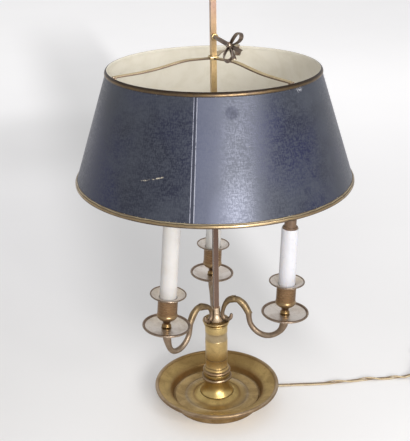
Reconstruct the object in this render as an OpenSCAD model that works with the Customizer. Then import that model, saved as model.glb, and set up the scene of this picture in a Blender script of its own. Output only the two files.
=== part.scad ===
// Bouillotte lamp: a dished brass base, a turned column, three scrolled candle arms and a
// painted metal shade that slides on a square rod and is held by a ribbon-bow thumb screw.
// Millimetres, +Z up. Origin: the centre of the foot ring, on the surface the lamp stands on.

/* [Base dish] */
// Outer radius of the rolled rim
base_r = 99; // [90:0.5:112]
// Height of the top of the rolled rim
base_h = 34.5; // [28:0.5:40]
// Radius of the rolled rim's own section
rim_roll_r = 3; // [2.2:0.1:3.6]
// Outer radius of the foot ring
foot_r = 69; // [64:0.5:74]
// Wall of the foot ring
foot_wall = 4; // [3:0.25:5.5]
// Height of the top of the dish's floor
floor_z = 11.5; // [10.5:0.25:14]
// Thickness of the spun dish
dish_t = 2.5; // [1.6:0.1:2.8]
// Radius at the top of the short steep riser round the floor
bowl_r = 74; // [72:0.5:78]
// Share of the rise from floor to rim that the riser takes, the broad brim taking the rest
riser_share = 0.62; // [0.5:0.02:0.74]
// Radius of the raised disc under the column
disc_r = 36.6; // [32:0.1:40]
// Height of the raised disc above the floor
disc_h = 3; // [1.5:0.25:5]
// Radius of the outer bead on the floor
bead_ring_r = 67; // [60:0.5:70]
// Radius of the inner bead on the floor
inner_ring_r = 50; // [44:0.5:57]
// Radius of the floor beads' own section
floor_bead_r = 1.3; // [0.6:0.1:2]
// Thickness of the board that closes the hollow under the foot
cover_t = 1.6; // [1:0.1:2.2]

/* [Column] */
// Radius of the foot where it stands on the disc
column_foot_r = 26.6; // [24:0.1:31]
// Height of the flared foot
column_foot_h = 27; // [22:0.5:34]
// Radius of the neck above the flared foot
column_neck_r = 20.5; // [19:0.1:23]
// Radius of the knop's rings
knop_r = 24; // [21.8:0.1:27]
// Height of the knop
knop_h = 23.5; // [21:0.5:30]
// Radius of the ferrule between knop and shaft
ferrule_r = 17.2; // [14:0.1:18.5]
// Height of the ferrule
ferrule_h = 15; // [10:0.5:22]
// Radius of the shaft
shaft_r = 17.6; // [15.5:0.1:19]
// Height of the shaft
shaft_h = 58.5; // [45:0.5:90]
// Radius of the capital's top ring
capital_r = 21.3; // [19.8:0.1:24]
// Height of the capital
capital_h = 8.5; // [7:0.25:12]
// Radius of the hollow roof at its foot
roof_r = 13; // [12:0.1:15]
// Height of the roof to the top of its collar
roof_h = 21.5; // [15:0.5:24]
// Wall of the collar at the rod's corners
collar_wall = 1.1; // [0.8:0.1:2]

/* [Rod and finial] */
// Width of the square rod
rod_w = 7.6; // [6.4:0.1:8.2]
// Turn of the rod about its own axis
rod_turn = 17.5; // [0:0.5:45]
// Height of the top of the rod
rod_top_z = 676; // [650:1:740]
// Radius of the finial's urn
finial_r = 10; // [8:0.25:14]
// Height of the finial
finial_h = 34; // [26:0.5:48]

/* [Threaded tube] */
// Radius of the threaded tube that holds the column together
tube_r = 5; // [4:0.1:5.6]
// Wall of the threaded tube
tube_wall = 1.2; // [0.8:0.1:1.6]

/* [Arms] */
// Reach of the left arm
left_reach = 105; // [96:0.5:125]
// Direction of the left arm
left_az = 225.7; // [215:0.1:240]
// Lean of the left candle to the right
left_lean = 4.5; // [0:0.5:6]
// Reach of the right arm
right_reach = 110; // [96:0.5:125]
// Direction of the right arm
right_az = 340.3; // [335:0.1:358]
// Lean of the right candle to the right
right_lean = 2; // [0:0.5:6]
// Reach of the back arm
back_reach = 103; // [96:0.5:125]
// Direction of the back arm
back_az = 93.6; // [85:0.1:105]
// Lean of the back candle to the right
back_lean = 3; // [0:0.5:6]
// Height of the pans' seats on the arms above the top of the capital
seat_rise = 26; // [22:0.5:40]
// Scale of the arms' thickness
arm_stoutness = 1; // [0.8:0.05:1.2]

/* [Candle fittings] */
// Radius of the drip pans
pan_r = 35.5; // [31:0.5:40]
// Depth of the drip pans from rim to seat
pan_h = 7.5; // [6:0.25:11]
// Radius of the candle cups' barrels
cup_r = 14.6; // [14.3:0.1:17]
// Height of the candle cups
cup_h = 50; // [42:0.5:56]
// Radius of the wax catchers on top of the cups
catcher_r = 26.5; // [22:0.5:31]
// Depth of the wax catchers
catcher_h = 6.5; // [5:0.25:9]
// Radius of the candle tubes
candle_r = 12.5; // [11.8:0.1:13]
// Wall of the candle tubes
candle_wall = 1.2; // [0.8:0.1:1.6]
// Length of the left and back candle tubes above their catchers
candle_long = 124; // [100:1:150]
// Length of the right candle tube above its catcher
candle_short = 90; // [70:1:120]
// Radius of the lampholders
holder_r = 8.8; // [8:0.1:9.4]
// Height of the lampholders above the candle tubes
holder_rise = 14; // [9:0.5:24]
// Radius of the bulbs
bulb_r = 15.5; // [11:0.5:19]
// Length of the bulbs above their lampholders
bulb_h = 72; // [60:1:90]

/* [Shade] */
// Radius of the shade at its lower edge, outside the binding
shade_low_r = 201.3; // [180:0.5:230]
// Radius of the shade at its upper edge, outside the binding
shade_top_r = 151.6; // [140:0.5:172]
// Height of the shade's lower edge
shade_low_z = 383.5; // [372:0.5:400]
// Height of the shade, binding to binding
shade_h = 161.5; // [130:0.5:165]
// Thickness of the shade's sheet
shade_t = 0.7; // [0.5:0.1:1.5]
// Height of the gilt bindings on the shade's two edges
bead_h = 6.2; // [4:0.2:8]
// Thickness of the gilt bindings
bead_t = 3.2; // [2.4:0.1:4]
// Direction of the shade's lapped seam
seam_az = 261.5; // [240:0.5:300]
// Width of the seam in degrees of the cone
seam_deg = 1.8; // [1.5:0.1:5]

/* [Shade carrier] */
// Wall of the square sleeve
sleeve_wall = 1; // [0.8:0.1:2]
// Height of the sleeve
sleeve_h = 37.5; // [28:0.5:48]
// Free gap between rod and sleeve, each side
slide_gap = 0.1; // [0.08:0.02:0.2]
// Height of the carrier's hub above the shade's upper edge
spider_rise = 10.4; // [8:0.2:20]
// Width of the carrier's three arms
spider_w = 10; // [5:0.5:12]
// Thickness of the carrier's three arms
spider_t = 2.2; // [1.4:0.1:3]

/* [Thumb screw] */
// Radius of the thumb screw's shank
screw_r = 3; // [2.2:0.1:3.6]
// Distance from the rod's axis to the bow's knot
bow_reach = 71; // [50:1:80]
// Length of each loop of the bow
bow_loop = 27; // [18:0.5:30]
// Width of the bow's ribbon
ribbon_w = 6.5; // [4:0.25:9]
// Thickness of the bow's ribbon
ribbon_t = 1.3; // [0.8:0.1:2]
// Spread of each loop from the shank's line
bow_spread = 46; // [38:1:70]
// Turn of the bow about its shank at rest
bow_turn = 60; // [0:1:90]
// Length of the ribbon's two loose ends
bow_end = 21; // [12:0.5:26]

/* [Switch and plug] */
// Length of the in-line switch
switch_l = 58; // [50:1:70]
// Width of the in-line switch
switch_w = 24; // [20:0.5:30]
// Height of the in-line switch
switch_h = 16; // [13:0.5:22]
// Tilt of the rocker to each side
rocker_tilt = 8; // [5:0.5:11]
// Width of the plug
plug_w = 26; // [24:0.5:32]
// Length of the plug's body
plug_l = 34; // [28:1:44]
// Thickness of the plug
plug_t = 14; // [12:0.5:18]
// Length of the plug's blades
blade_l = 17.5; // [15:0.5:20]

/* [Hidden] */

ROUND = 96;          // sides of the turned pieces' circles
FINE = 48;           // sides of small round pieces
fit_gap = 0.1;       // radial play of a piece on the tube or in its seat
turn_gap = 0.05;     // radial play of the thumb screw in its bore
clear = 0.3;         // space left between pieces that only lie close
overcut = 1;         // how far a cutting solid runs past what it cuts

// Heights on the axis, from the surface upwards
disc_z = floor_z + disc_h;
knop_z = disc_z + column_foot_h;
ferrule_z = knop_z + knop_h;
shaft_z = ferrule_z + ferrule_h;
capital_z = shaft_z + shaft_h;
roof_z = capital_z + capital_h;
collar_top_z = roof_z + roof_h;
seat_z = roof_z + seat_rise;
dish_under_z = floor_z - dish_t;

// A point on an arc about [x, y], and the arc's points from angle a to angle b
function on_arc(x, y, r, a) = [x + r * cos(a), y + r * sin(a)];
function arc(x, y, r, a, b, n = 8) = [for (i = [0:n]) on_arc(x, y, r, a + (b - a) * i / n)];

// A smooth curve through rows of numbers: the Catmull-Rom spline, step by step
function smooth(p, i, t) = let (n = len(p), a = p[max(i - 1, 0)], b = p[i], c = p[i + 1],
    d = p[min(i + 2, n - 1)])
    0.5 * (2 * b + t * (c - a) + t * t * (2 * a - 5 * b + 4 * c - d)
        + t * t * t * (3 * b - a - 3 * c + d));
function spline(p, steps) = [for (i = [0:len(p) - 2], k = [0:steps - 1]) smooth(p, i, k / steps),
    p[len(p) - 1]];

// The triangles that close a tube of rings, each ring with the same number of points
function tube_faces(rings, sides) = [
    for (i = [0:rings - 2], k = [0:sides - 1]) let (a = i * sides + k,
        b = i * sides + (k + 1) % sides) each [[a, b, b + sides], [a, b + sides, a + sides]],
    [for (k = [sides - 1:-1:0]) k],
    [for (k = [0:sides - 1]) (rings - 1) * sides + k]];

// ---------------------------------------------------------------- base

// The dish's outline: foot ring, beaded floor, short steep riser, broad brim and rolled rim
roll_x = base_r - rim_roll_r;
roll_z = base_h - rim_roll_r;
riser_h = (roll_z - floor_z) * riser_share;
brim_h = roll_z - floor_z - riser_h;
DISH_LINE = spline([[bowl_r - 6, floor_z], [bowl_r - 4, floor_z + 0.08 * riser_h],
    [bowl_r - 2.4, floor_z + 0.42 * riser_h], [bowl_r - 0.8, floor_z + 0.78 * riser_h],
    [bowl_r + 2, floor_z + riser_h], [(bowl_r + roll_x) / 2, floor_z + riser_h + 0.55 * brim_h],
    [roll_x - rim_roll_r - 0.6, roll_z - 0.5]], 3);

module base_dish() {
    last = len(DISH_LINE) - 1;
    under = [for (i = [0:last]) let (q = DISH_LINE[min(i + 1, last)] - DISH_LINE[max(i - 1, 0)])
        DISH_LINE[i] + dish_t * [q[1], -q[0]] / norm(q)];
    color("darkgoldenrod") difference() {
        union() {
            rotate_extrude($fn = ROUND) polygon(concat(
                [[0, dish_under_z], [foot_r - foot_wall, dish_under_z], [foot_r - foot_wall, 0],
                    [foot_r, 0], [foot_r, dish_under_z - 0.6], [foot_r + 0.6, dish_under_z]],
                [for (p = under) if (p[0] > foot_r + 0.9) p],
                arc(roll_x, roll_z, rim_roll_r, -100, 180, 14),
                [for (i = [last:-1:0]) DISH_LINE[i]],
                [[0, floor_z]]));
            translate([0, 0, floor_z - overcut])
                cylinder(r1 = disc_r + 0.7, r2 = disc_r - 1.4, h = disc_h + overcut, $fn = ROUND);
            floor_bead(bead_ring_r);
            floor_bead(inner_ring_r);
        }
        translate([0, 0, -overcut]) cylinder(r = tube_r + fit_gap, h = disc_z + 2 * overcut, $fn = FINE);
        cord_line(foot_r - foot_wall - overcut) cylinder(r = bushing_r + turn_gap,
            h = foot_wall + 2 * overcut, $fn = FINE);
    }
}
module floor_bead(r) {
    translate([0, 0, floor_z]) rotate_extrude($fn = ROUND) translate([r, 0])
        intersection() { circle(floor_bead_r, $fn = 24); translate([-5, -0.5]) square([10, 5]); }
}
// The board stands on nothing: it is pressed into the foot ring, clear of the surface
cover_z = 0.8;
module base_cover() {
    color("darkslategray") translate([0, 0, cover_z])
        cylinder(r = foot_r - foot_wall - turn_gap, h = cover_t, $fn = ROUND);
}

// ---------------------------------------------------------------- threaded tube and its nut

washer_t = 1.4;
nut_h = 3.6;
nut_af_r = 1.9 * tube_r;
tube_low_z = dish_under_z - washer_t - nut_h - 0.6;
tube_top_z = roof_z + 4;
module threaded_tube() {
    color("silver") translate([0, 0, tube_low_z]) difference() {
        cylinder(r = tube_r, h = tube_top_z - tube_low_z, $fn = FINE);
        translate([0, 0, -overcut])
            cylinder(r = tube_r - tube_wall, h = tube_top_z - tube_low_z + 2 * overcut, $fn = FINE);
    }
}
module lock_washer() {
    color("silver") translate([0, 0, dish_under_z - washer_t]) difference() {
        cylinder(r = 2.6 * tube_r, h = washer_t, $fn = FINE);
        translate([0, 0, -overcut]) cylinder(r = tube_r + fit_gap, h = 2 * overcut + washer_t, $fn = FINE);
    }
}
module lock_nut() {
    color("goldenrod") translate([0, 0, dish_under_z - washer_t - nut_h]) difference() {
        cylinder(r = nut_af_r, h = nut_h, $fn = 6);
        translate([0, 0, -overcut]) cylinder(r = tube_r, h = 2 * overcut + nut_h, $fn = FINE);
    }
}

// ---------------------------------------------------------------- column

// A turned piece: an outline of [radius, height] points above z, bored for the tube
module turned(z, outline, bore = tube_r + fit_gap) {
    top = max([for (p = outline) p[1]]);
    translate([0, 0, z]) difference() {
        rotate_extrude($fn = ROUND) polygon(concat([[0, 0]], outline, [[0, top]]));
        if (bore > 0) translate([0, 0, -overcut]) cylinder(r = bore, h = top + 2 * overcut, $fn = FINE);
    }
}
// A half-round ring of the turner's, standing r deep on a surface at radius x
function ring(x, z, r) = arc(x, z, r, -90, 90, 8);

module column_foot() {
    bell = column_foot_r - column_neck_r;
    rise = column_foot_h - 4;
    color("goldenrod") turned(disc_z, concat(
        [[column_foot_r - 0.6, 0], [column_foot_r, 0.6], [column_foot_r, 1.4]],
        [for (i = [0:10]) let (t = i / 10)
            [column_neck_r + bell * pow(1 - t, 2.2), 2 + rise * t]],
        [[column_neck_r, column_foot_h]]));
}
// A full ring, a plain drum, a groove, a smaller ring and a hollow curve up to the ferrule
module column_knop() {
    low = 3.3;
    high = 2.4;
    drum_r = knop_r - 3.2;
    curve_z = 18.6;
    curve_h = knop_h - curve_z;
    color("goldenrod") turned(knop_z, concat(
        [[column_neck_r, 0], [column_neck_r, 0.3]], ring(knop_r - low, low + 0.6, low),
        [[drum_r, 7.6], [drum_r, 11.8], [drum_r - 1.2, 12.4], [drum_r - 1.2, 13]],
        ring(drum_r - 1.2, 15.9, high), [[drum_r - 0.6, curve_z], [ferrule_r + 1.7, curve_z + 0.2 * curve_h],
            [ferrule_r + 1, curve_z + 0.5 * curve_h], [ferrule_r + 0.7, knop_h]]));
}
module column_ferrule() {
    color("goldenrod") turned(ferrule_z, [[ferrule_r + 0.7, 0], [ferrule_r + 0.7, 0.8], [ferrule_r, 1.6],
        [ferrule_r, ferrule_h - 1.6], [ferrule_r + 0.4, ferrule_h - 1], [ferrule_r + 0.4, ferrule_h]]);
}
// A shallow turned band runs round the shaft a third of the way down
band_cut = 0.35;
module column_shaft() {
    band_top = shaft_h * 0.78;
    band_low = shaft_h * 0.58;
    color("burlywood") turned(shaft_z, [[shaft_r - 0.5, 0], [shaft_r, 0.5],
        [shaft_r, band_low - 0.5], [shaft_r - band_cut, band_low], [shaft_r - band_cut, band_top],
        [shaft_r, band_top + 0.5], [shaft_r, shaft_h]]);
}
module capital() {
    r = 1.5;
    color("burlywood") turned(capital_z, concat([[shaft_r, 0]], ring(shaft_r + 0.2, r, r),
        [[shaft_r + 0.4, 2 * r + 0.5], [shaft_r + 1.1, capital_h - 3.4]],
        ring(capital_r - r, capital_h - r, r)));
}
// The roof is hollowed like a bell between the capital and the collar that takes the rod
collar_r = rod_w * sqrt(2) / 2 + collar_wall;
rod_socket = roof_h - 9.5;
module column_roof() {
    neck_h = roof_h - 10.5;
    color("wheat") difference() {
        turned(roof_z, concat([[roof_r, 0], [roof_r, 0.8]],
            [for (i = [0:8]) let (t = i / 8) [collar_r + (roof_r - 0.6 - collar_r) * pow(1 - t, 1.9),
                0.8 + (neck_h - 0.8) * t]],
            [[collar_r + 0.6, neck_h + 0.5], [collar_r + 0.6, neck_h + 1.7], [collar_r, neck_h + 2.3],
                [collar_r, roof_h - 0.5], [collar_r - 0.5, roof_h]]), 0);
        translate([0, 0, roof_z - overcut])
            cylinder(r = tube_r + fit_gap, h = tube_top_z - roof_z + overcut, $fn = FINE);
        rod_space(collar_top_z - rod_socket, rod_socket + overcut, 0);
    }
}

// ---------------------------------------------------------------- rod and finial

// The square space that the rod takes up, widened by play on each side
module rod_space(z, h, play) {
    w = rod_w + 2 * play;
    rotate([0, 0, rod_turn]) translate([-w / 2, -w / 2, z]) cube([w, w, h]);
}
module centre_rod() {
    color("tan") rod_space(collar_top_z - rod_socket, rod_top_z - collar_top_z + rod_socket, 0);
}
finial_socket = 8;
finial_z = rod_top_z - finial_socket;
module finial() {
    neck = rod_w * 0.62;
    color("goldenrod") difference() {
        turned(finial_z, concat([[neck + 1.6, 0], [neck + 2.4, 0.8], [neck + 2.4, 2], [neck + 1, 3],
            [neck + 0.8, finial_socket + 1]],
            [for (i = [0:12]) let (t = i / 12) [neck + 0.4 + (finial_r - neck - 0.4) * sin(180 * pow(t, 1.25)),
                finial_socket + 2 + (finial_h - finial_socket - 10) * t]],
            [[neck - 1.6, finial_h - 7.2]], arc(0, finial_h - 3.4, 3.4, -50, 80, 8)), 0);
        rod_space(finial_z - overcut, finial_socket + overcut, 0);
    }
}

// ---------------------------------------------------------------- arms

// Centre line of a cast arm in its own upright plane, for the reach and rise it was drawn at:
// distance from the axis, height above the capital, thickness. It runs from the curled ear on
// the capital up the neck, through the leaf sheath over the crown, down the S and up to the pan
ARM_LINE = [[24.5, 12.5, 4.6], [23.6, 7.5, 6], [20, 4, 6.2], [15.2, 4.2, 6], [11.9, 7, 5.9],
    [10.7, 13, 6], [12, 20.5, 6.4], [16, 28, 7.2], [22.4, 33.8, 9], [29.6, 36.8, 12], [31.6, 37.3, 12.6],
    [33.6, 37.4, 9.6], [39, 36.4, 10.4], [45.8, 31, 10.6], [51, 23.4, 9.8], [53.4, 18.4, 10.4],
    [54.2, 15.6, 9.4], [55, 7.5, 8.4], [57.5, -1.5, 8.4], [62.8, -9, 8.8], [70.8, -14.8, 9],
    [80, -17, 9], [89.2, -15.2, 8.6], [96.6, -9.6, 8.6], [102, -0.6, 10], [105, 9.4, 12.4]];
EAR_KNOTS = 7;
ARM_REACH = 106;
ARM_RISE = 26;
NECK_R = 11;
ARM_SIDES = 12;
ARM_STEPS = 2;
ear_r = 2.2;
ear_at = 16.9;
seat_disc_r = 7.2;
seat_disc_h = 3;
end_inset = 1.1;

// Places a fitting on the end of an arm, leaning a little to the right as the old arms do
module on_arm(az, reach, lean) {
    translate([reach * cos(az), reach * sin(az), seat_z]) rotate([0, lean, 0]) children();
}
// How far each arm was bent in its own plane when it was fitted: outwards, upwards
LEFT_BEND = [3, -2.8];
RIGHT_BEND = [-3, 3];
BACK_BEND = [0, 0];
function share(x) = min(max(x, 0), 1);
// The line fitted to another reach and rise: beyond the neck it is drawn out or pushed in, and
// bent most in the middle, while ear and foot keep their places
function fitted(i, reach, bend) = let (k = ARM_LINE[i],
    w = i < EAR_KNOTS ? 0 : share((k[0] - 12) / 12) * share((ARM_REACH - k[0]) / 12))
    [w * bend[0] + (k[0] < NECK_R ? k[0] : NECK_R + (k[0] - NECK_R) * (reach - NECK_R) / (ARM_REACH - NECK_R)),
    w * bend[1] + (k[1] < 10 ? k[1] : 10 + (k[1] - 10) * (seat_rise - 10) / (ARM_RISE - 10)),
    k[2] * arm_stoutness];
// A ring of the arm's section about point p, square to the direction d, in the arm's plane
function arm_ring(p, d) = let (u = [-d[1], d[0]] / norm(d), w = p[2] / 2)
    [for (k = [0:ARM_SIDES - 1]) let (a = 360 * k / ARM_SIDES)
        [p[0] + u[0] * cos(a) * w, sin(a) * w * 0.96, p[1] + u[1] * cos(a) * w]];

module arm(az, reach, lean, bend) {
    knots = [for (i = [0:len(ARM_LINE) - 1]) fitted(i, reach, bend)];
    end = [reach - sin(lean) * cos(az) * seat_disc_h, seat_rise - seat_disc_h * 0.7];
    line = concat(spline(knots, ARM_STEPS), [[end[0], end[1], 2 * (seat_disc_r - end_inset)]]);
    n = len(line);
    rings = [for (i = [0:n - 1]) let (q = line[min(i + 1, n - 1)], o = line[max(i - 1, 0)])
        each arm_ring(line[i], [q[0] - o[0], q[1] - o[1]])];
    color("peru") difference() {
        union() {
            rotate([0, 0, az]) translate([0, 0, roof_z]) {
                polyhedron(rings, tube_faces(n, ARM_SIDES), convexity = 8);
                translate([ear_at, 0, 0]) cylinder(r = ear_r, h = 3, $fn = FINE);
            }
            on_arm(az, reach, lean) translate([0, 0, -seat_disc_h])
                cylinder(r1 = seat_disc_r - 0.6, r2 = seat_disc_r, h = seat_disc_h, $fn = FINE);
        }
        on_arm(az, reach, lean) translate([0, 0, -nipple_sink])
            cylinder(r = nipple_r, h = nipple_sink + overcut, $fn = FINE);
    }
}
module arm_left() { arm(left_az, left_reach, left_lean, LEFT_BEND); }
module arm_right() { arm(right_az, right_reach, right_lean, RIGHT_BEND); }
module arm_back() { arm(back_az, back_reach, back_lean, BACK_BEND); }

// ---------------------------------------------------------------- candle fittings

nipple_r = 3;
nipple_sink = 2.4;
pan_t = 1.5;
cup_foot_z = pan_t;
cup_top_z = pan_t + cup_h;
socket_depth = 14;
catcher_t = 1.3;
candle_foot_z = cup_top_z - socket_depth;
catcher_floor_z = cup_top_z + catcher_t;

// A shallow spun pan with a beaded edge, seated flat on the arm
module pan() {
    edge = 1.7;
    curve = 1.8;
    color("rosybrown") difference() {
        rotate_extrude($fn = ROUND) polygon(concat([[0, 0], [seat_disc_r, 0]],
            [for (i = [1:8]) let (t = i / 8) [seat_disc_r + (pan_r - edge - seat_disc_r) * t,
                (pan_h - 2 * edge) * pow(t, curve)]],
            arc(pan_r - edge, pan_h - edge, edge, -80, 180, 8),
            [for (i = [7:-1:1]) let (t = i / 8) [seat_disc_r + (pan_r - edge - seat_disc_r) * t,
                pan_t + (pan_h - 2 * edge) * pow(t, curve)]],
            [[seat_disc_r, pan_t], [0, pan_t]]));
        translate([0, 0, -overcut]) cylinder(r = nipple_r + fit_gap, h = pan_t + 2 * overcut, $fn = FINE);
    }
}
// A turned cup: foot, knob, dark waist, swelling and a barrel with five fine grooves, bored for
// the candle tube. Each row: how far inside the barrel's radius, height on a cup CUP_TALL high
CUP_TALL = 50;
CUP_LINE = [[7.2, 0], [7.2, 0.9], [9.2, 1.5], [8.4, 2.2], [7.7, 3.2], [7.5, 4.1], [7.8, 5], [8.6, 6],
    [9.3, 6.9], [9.2, 8.5], [8.6, 10.5], [7.4, 12.5], [5.6, 14.2], [3, 15.8], [1, 17.5], [-0.2, 19.3],
    [-0.8, 21.2], [-0.6, 23], [0, 24.2]];
CUP_GROOVES = [27.9, 33.5, 37.7, 41.9, 45.8];
module cup() {
    tall = cup_h / CUP_TALL;
    groove = 0.5;
    color("sienna") translate([0, 0, cup_foot_z]) difference() {
        rotate_extrude($fn = ROUND) polygon(concat([[0, 0]],
            [for (p = CUP_LINE) [cup_r - p[0], p[1] * tall]],
            [for (g = CUP_GROOVES) each [[cup_r, g * tall - 0.7], [cup_r - groove, g * tall - 0.3],
                [cup_r - groove, g * tall + 0.3], [cup_r, g * tall + 0.7]]],
            [[cup_r, cup_h - 2.4], [cup_r + 0.6, cup_h - 1.2], [cup_r + 0.6, cup_h], [0, cup_h]]));
        translate([0, 0, cup_h - socket_depth])
            cylinder(r = candle_r + fit_gap, h = socket_depth + overcut, $fn = ROUND);
        translate([0, 0, -overcut]) cylinder(r = nipple_r + fit_gap, h = cup_h + 2 * overcut, $fn = FINE);
    }
}
// The wax catcher: a small dish with a turned-over edge, lying on the cup round the candle
module catcher() {
    edge = 0.9;
    hole = candle_r + clear + 0.4;
    well = cup_r + 0.6;
    color("rosybrown") translate([0, 0, cup_top_z]) rotate_extrude($fn = ROUND)
        polygon(concat([[hole, 0], [well, 0]],
            [for (i = [1:7]) let (t = i / 7) [well + (catcher_r - edge - well) * t,
                (catcher_h - 2 * edge) * pow(t, 1.5)]],
            arc(catcher_r - edge, catcher_h - edge, edge, -80, 180, 6),
            [for (i = [6:-1:1]) let (t = i / 7) [well + (catcher_r - edge - well) * t,
                catcher_t + (catcher_h - 2 * edge) * pow(t, 1.5)]],
            [[well, catcher_t], [hole, catcher_t]]));
}
module candle(long) {
    color("ivory") translate([0, 0, candle_foot_z]) difference() {
        cylinder(r = candle_r, h = long + catcher_t + socket_depth, $fn = ROUND);
        translate([0, 0, -overcut])
            cylinder(r = candle_r - candle_wall, h = long + 2 * overcut + socket_depth + 5, $fn = ROUND);
    }
}
// The lampholder stands on its stem inside the candle tube and rises above it
cap_r = 6.6;
cap_l = 20;
holder_l = 34;
function holder_top(long) = catcher_floor_z + long + holder_rise;
module holder(long) {
    top = holder_top(long);
    low = candle_foot_z;
    liner_r = candle_r - candle_wall - turn_gap;
    edge_z = catcher_floor_z + long;
    color("saddlebrown") difference() {
        rotate_extrude($fn = FINE) polygon([[0, low], [liner_r, low], [liner_r, low + 1.5],
            [nipple_r + 2, low + 1.5], [nipple_r + 2, top - holder_l], [holder_r, top - holder_l + 2],
            [holder_r, edge_z - 6], [liner_r, edge_z - 6], [liner_r, edge_z + 2], [liner_r - 0.6, edge_z + 2.6],
            [holder_r, edge_z + 2.6], [holder_r, top - 0.6], [holder_r - 0.6, top], [0, top]]);
        translate([0, 0, top - cap_l]) cylinder(r = cap_r + fit_gap, h = cap_l + overcut, $fn = FINE);
        translate([0, 0, low - overcut]) cylinder(r = nipple_r, h = nipple_up + overcut, $fn = FINE);
    }
}
nipple_up = 8;
module nipple() {
    color("silver") translate([0, 0, -nipple_sink]) difference() {
        cylinder(r = nipple_r, h = nipple_sink + candle_foot_z + nipple_up, $fn = FINE);
        translate([0, 0, -overcut]) cylinder(r = nipple_r - 0.9,
            h = nipple_sink + candle_foot_z + nipple_up + 2 * overcut, $fn = FINE);
    }
}
// A candle-shaped bulb with its screw cap down in the lampholder
module bulb(long) {
    top = holder_top(long);
    color("aliceblue", 0.5) rotate_extrude($fn = FINE) polygon(concat(
        [[0, top - cap_l], [cap_r - 2, top - cap_l], [cap_r, top - cap_l + 2], [cap_r, top + 1]],
        [for (i = [0:14]) let (t = i / 14) [cap_r + (bulb_r - cap_r) * pow(sin(180 * pow(t, 0.72)), 0.9)
            * (1 - 0.1 * t) - cap_r * pow(t, 3) * 0.86, top + 1.5 + (bulb_h - 3) * t]],
        [[0, top + bulb_h]]));
}
module pan_left() { on_arm(left_az, left_reach, left_lean) pan(); }
module pan_right() { on_arm(right_az, right_reach, right_lean) pan(); }
module pan_back() { on_arm(back_az, back_reach, back_lean) pan(); }
module cup_left() { on_arm(left_az, left_reach, left_lean) cup(); }
module cup_right() { on_arm(right_az, right_reach, right_lean) cup(); }
module cup_back() { on_arm(back_az, back_reach, back_lean) cup(); }
module catcher_left() { on_arm(left_az, left_reach, left_lean) catcher(); }
module catcher_right() { on_arm(right_az, right_reach, right_lean) catcher(); }
module catcher_back() { on_arm(back_az, back_reach, back_lean) catcher(); }
module candle_left() { on_arm(left_az, left_reach, left_lean) candle(candle_long); }
module candle_right() { on_arm(right_az, right_reach, right_lean) candle(candle_short); }
module candle_back() { on_arm(back_az, back_reach, back_lean) candle(candle_long); }
module holder_left() { on_arm(left_az, left_reach, left_lean) holder(candle_long); }
module holder_right() { on_arm(right_az, right_reach, right_lean) holder(candle_short); }
module holder_back() { on_arm(back_az, back_reach, back_lean) holder(candle_long); }
module bulb_left() { on_arm(left_az, left_reach, left_lean) bulb(candle_long); }
module bulb_right() { on_arm(right_az, right_reach, right_lean) bulb(candle_short); }
module bulb_back() { on_arm(back_az, back_reach, back_lean) bulb(candle_long); }
module nipple_left() { on_arm(left_az, left_reach, left_lean) nipple(); }
module nipple_right() { on_arm(right_az, right_reach, right_lean) nipple(); }
module nipple_back() { on_arm(back_az, back_reach, back_lean) nipple(); }

// ---------------------------------------------------------------- shade

bead_out = 0.6;
bead_proud = bead_t / 2 + 0.5;
sheet_low_r = shade_low_r - bead_proud;
sheet_top_r = shade_top_r - bead_proud;
sheet_low_z = shade_low_z + bead_h / 2;
sheet_h = shade_h - bead_h;
sheet_top_z = sheet_low_z + sheet_h;
slope = (sheet_low_r - sheet_top_r) / sheet_h;

// Outer radius of the sheet at height z, and a band of the cone between two heights
function sheet_r(z) = sheet_low_r - slope * (z - sheet_low_z);
module cone_band(z0, z1, out, inside) {
    rotate_extrude($fn = 2 * ROUND) polygon([[sheet_r(z0) - inside, z0], [sheet_r(z0) + out, z0],
        [sheet_r(z1) + out, z1], [sheet_r(z1) - inside, z1]]);
}
module shade_cone() {
    color("darkslateblue") cone_band(sheet_low_z, sheet_top_z, 0, shade_t);
}
// Each gilt binding is a slim oval that follows the sheet's slope and is slit to take its edge
BEAD_FLATS = 18;
module shade_bead(z) {
    section = [for (i = [0:BEAD_FLATS - 1]) let (a = 360 * i / BEAD_FLATS)
        [bead_t / 2 * cos(a) - slope * bead_h / 2 * sin(a), bead_h / 2 * sin(a)]];
    color("goldenrod") difference() {
        rotate_extrude($fn = 2 * ROUND) translate([sheet_r(z) - shade_t / 2 + bead_out, z]) polygon(section);
        cone_band(sheet_low_z, sheet_top_z, 0, shade_t);
    }
}
module shade_bead_top() { shade_bead(sheet_top_z); }
module shade_bead_low() { shade_bead(sheet_low_z); }
// The lap of the seam: a second thickness of sheet over a narrow strip
module shade_seam() {
    lap = 0.6;
    z0 = sheet_low_z + bead_h / 2 + 0.3;
    z1 = sheet_top_z - bead_h / 2 - 0.3;
    color("slategray") rotate([0, 0, seam_az - seam_deg / 2]) rotate_extrude(angle = seam_deg, $fn = 2 * ROUND)
        polygon([[sheet_r(z0), z0], [sheet_r(z0) + lap, z0], [sheet_r(z1) + lap, z1], [sheet_r(z1), z1]]);
}

// ---------------------------------------------------------------- shade carrier

spider_z = shade_low_z + shade_h + spider_rise;
sleeve_w = rod_w + 2 * (slide_gap + sleeve_wall);
hub_w = sleeve_w + 2.4;
hub_h = 5;
sleeve_z = spider_z - 1.4;
boss_r = screw_r + 1.8;
boss_l = 4.5;
screw_z = sleeve_z + sleeve_h - boss_r - 0.2;

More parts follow.
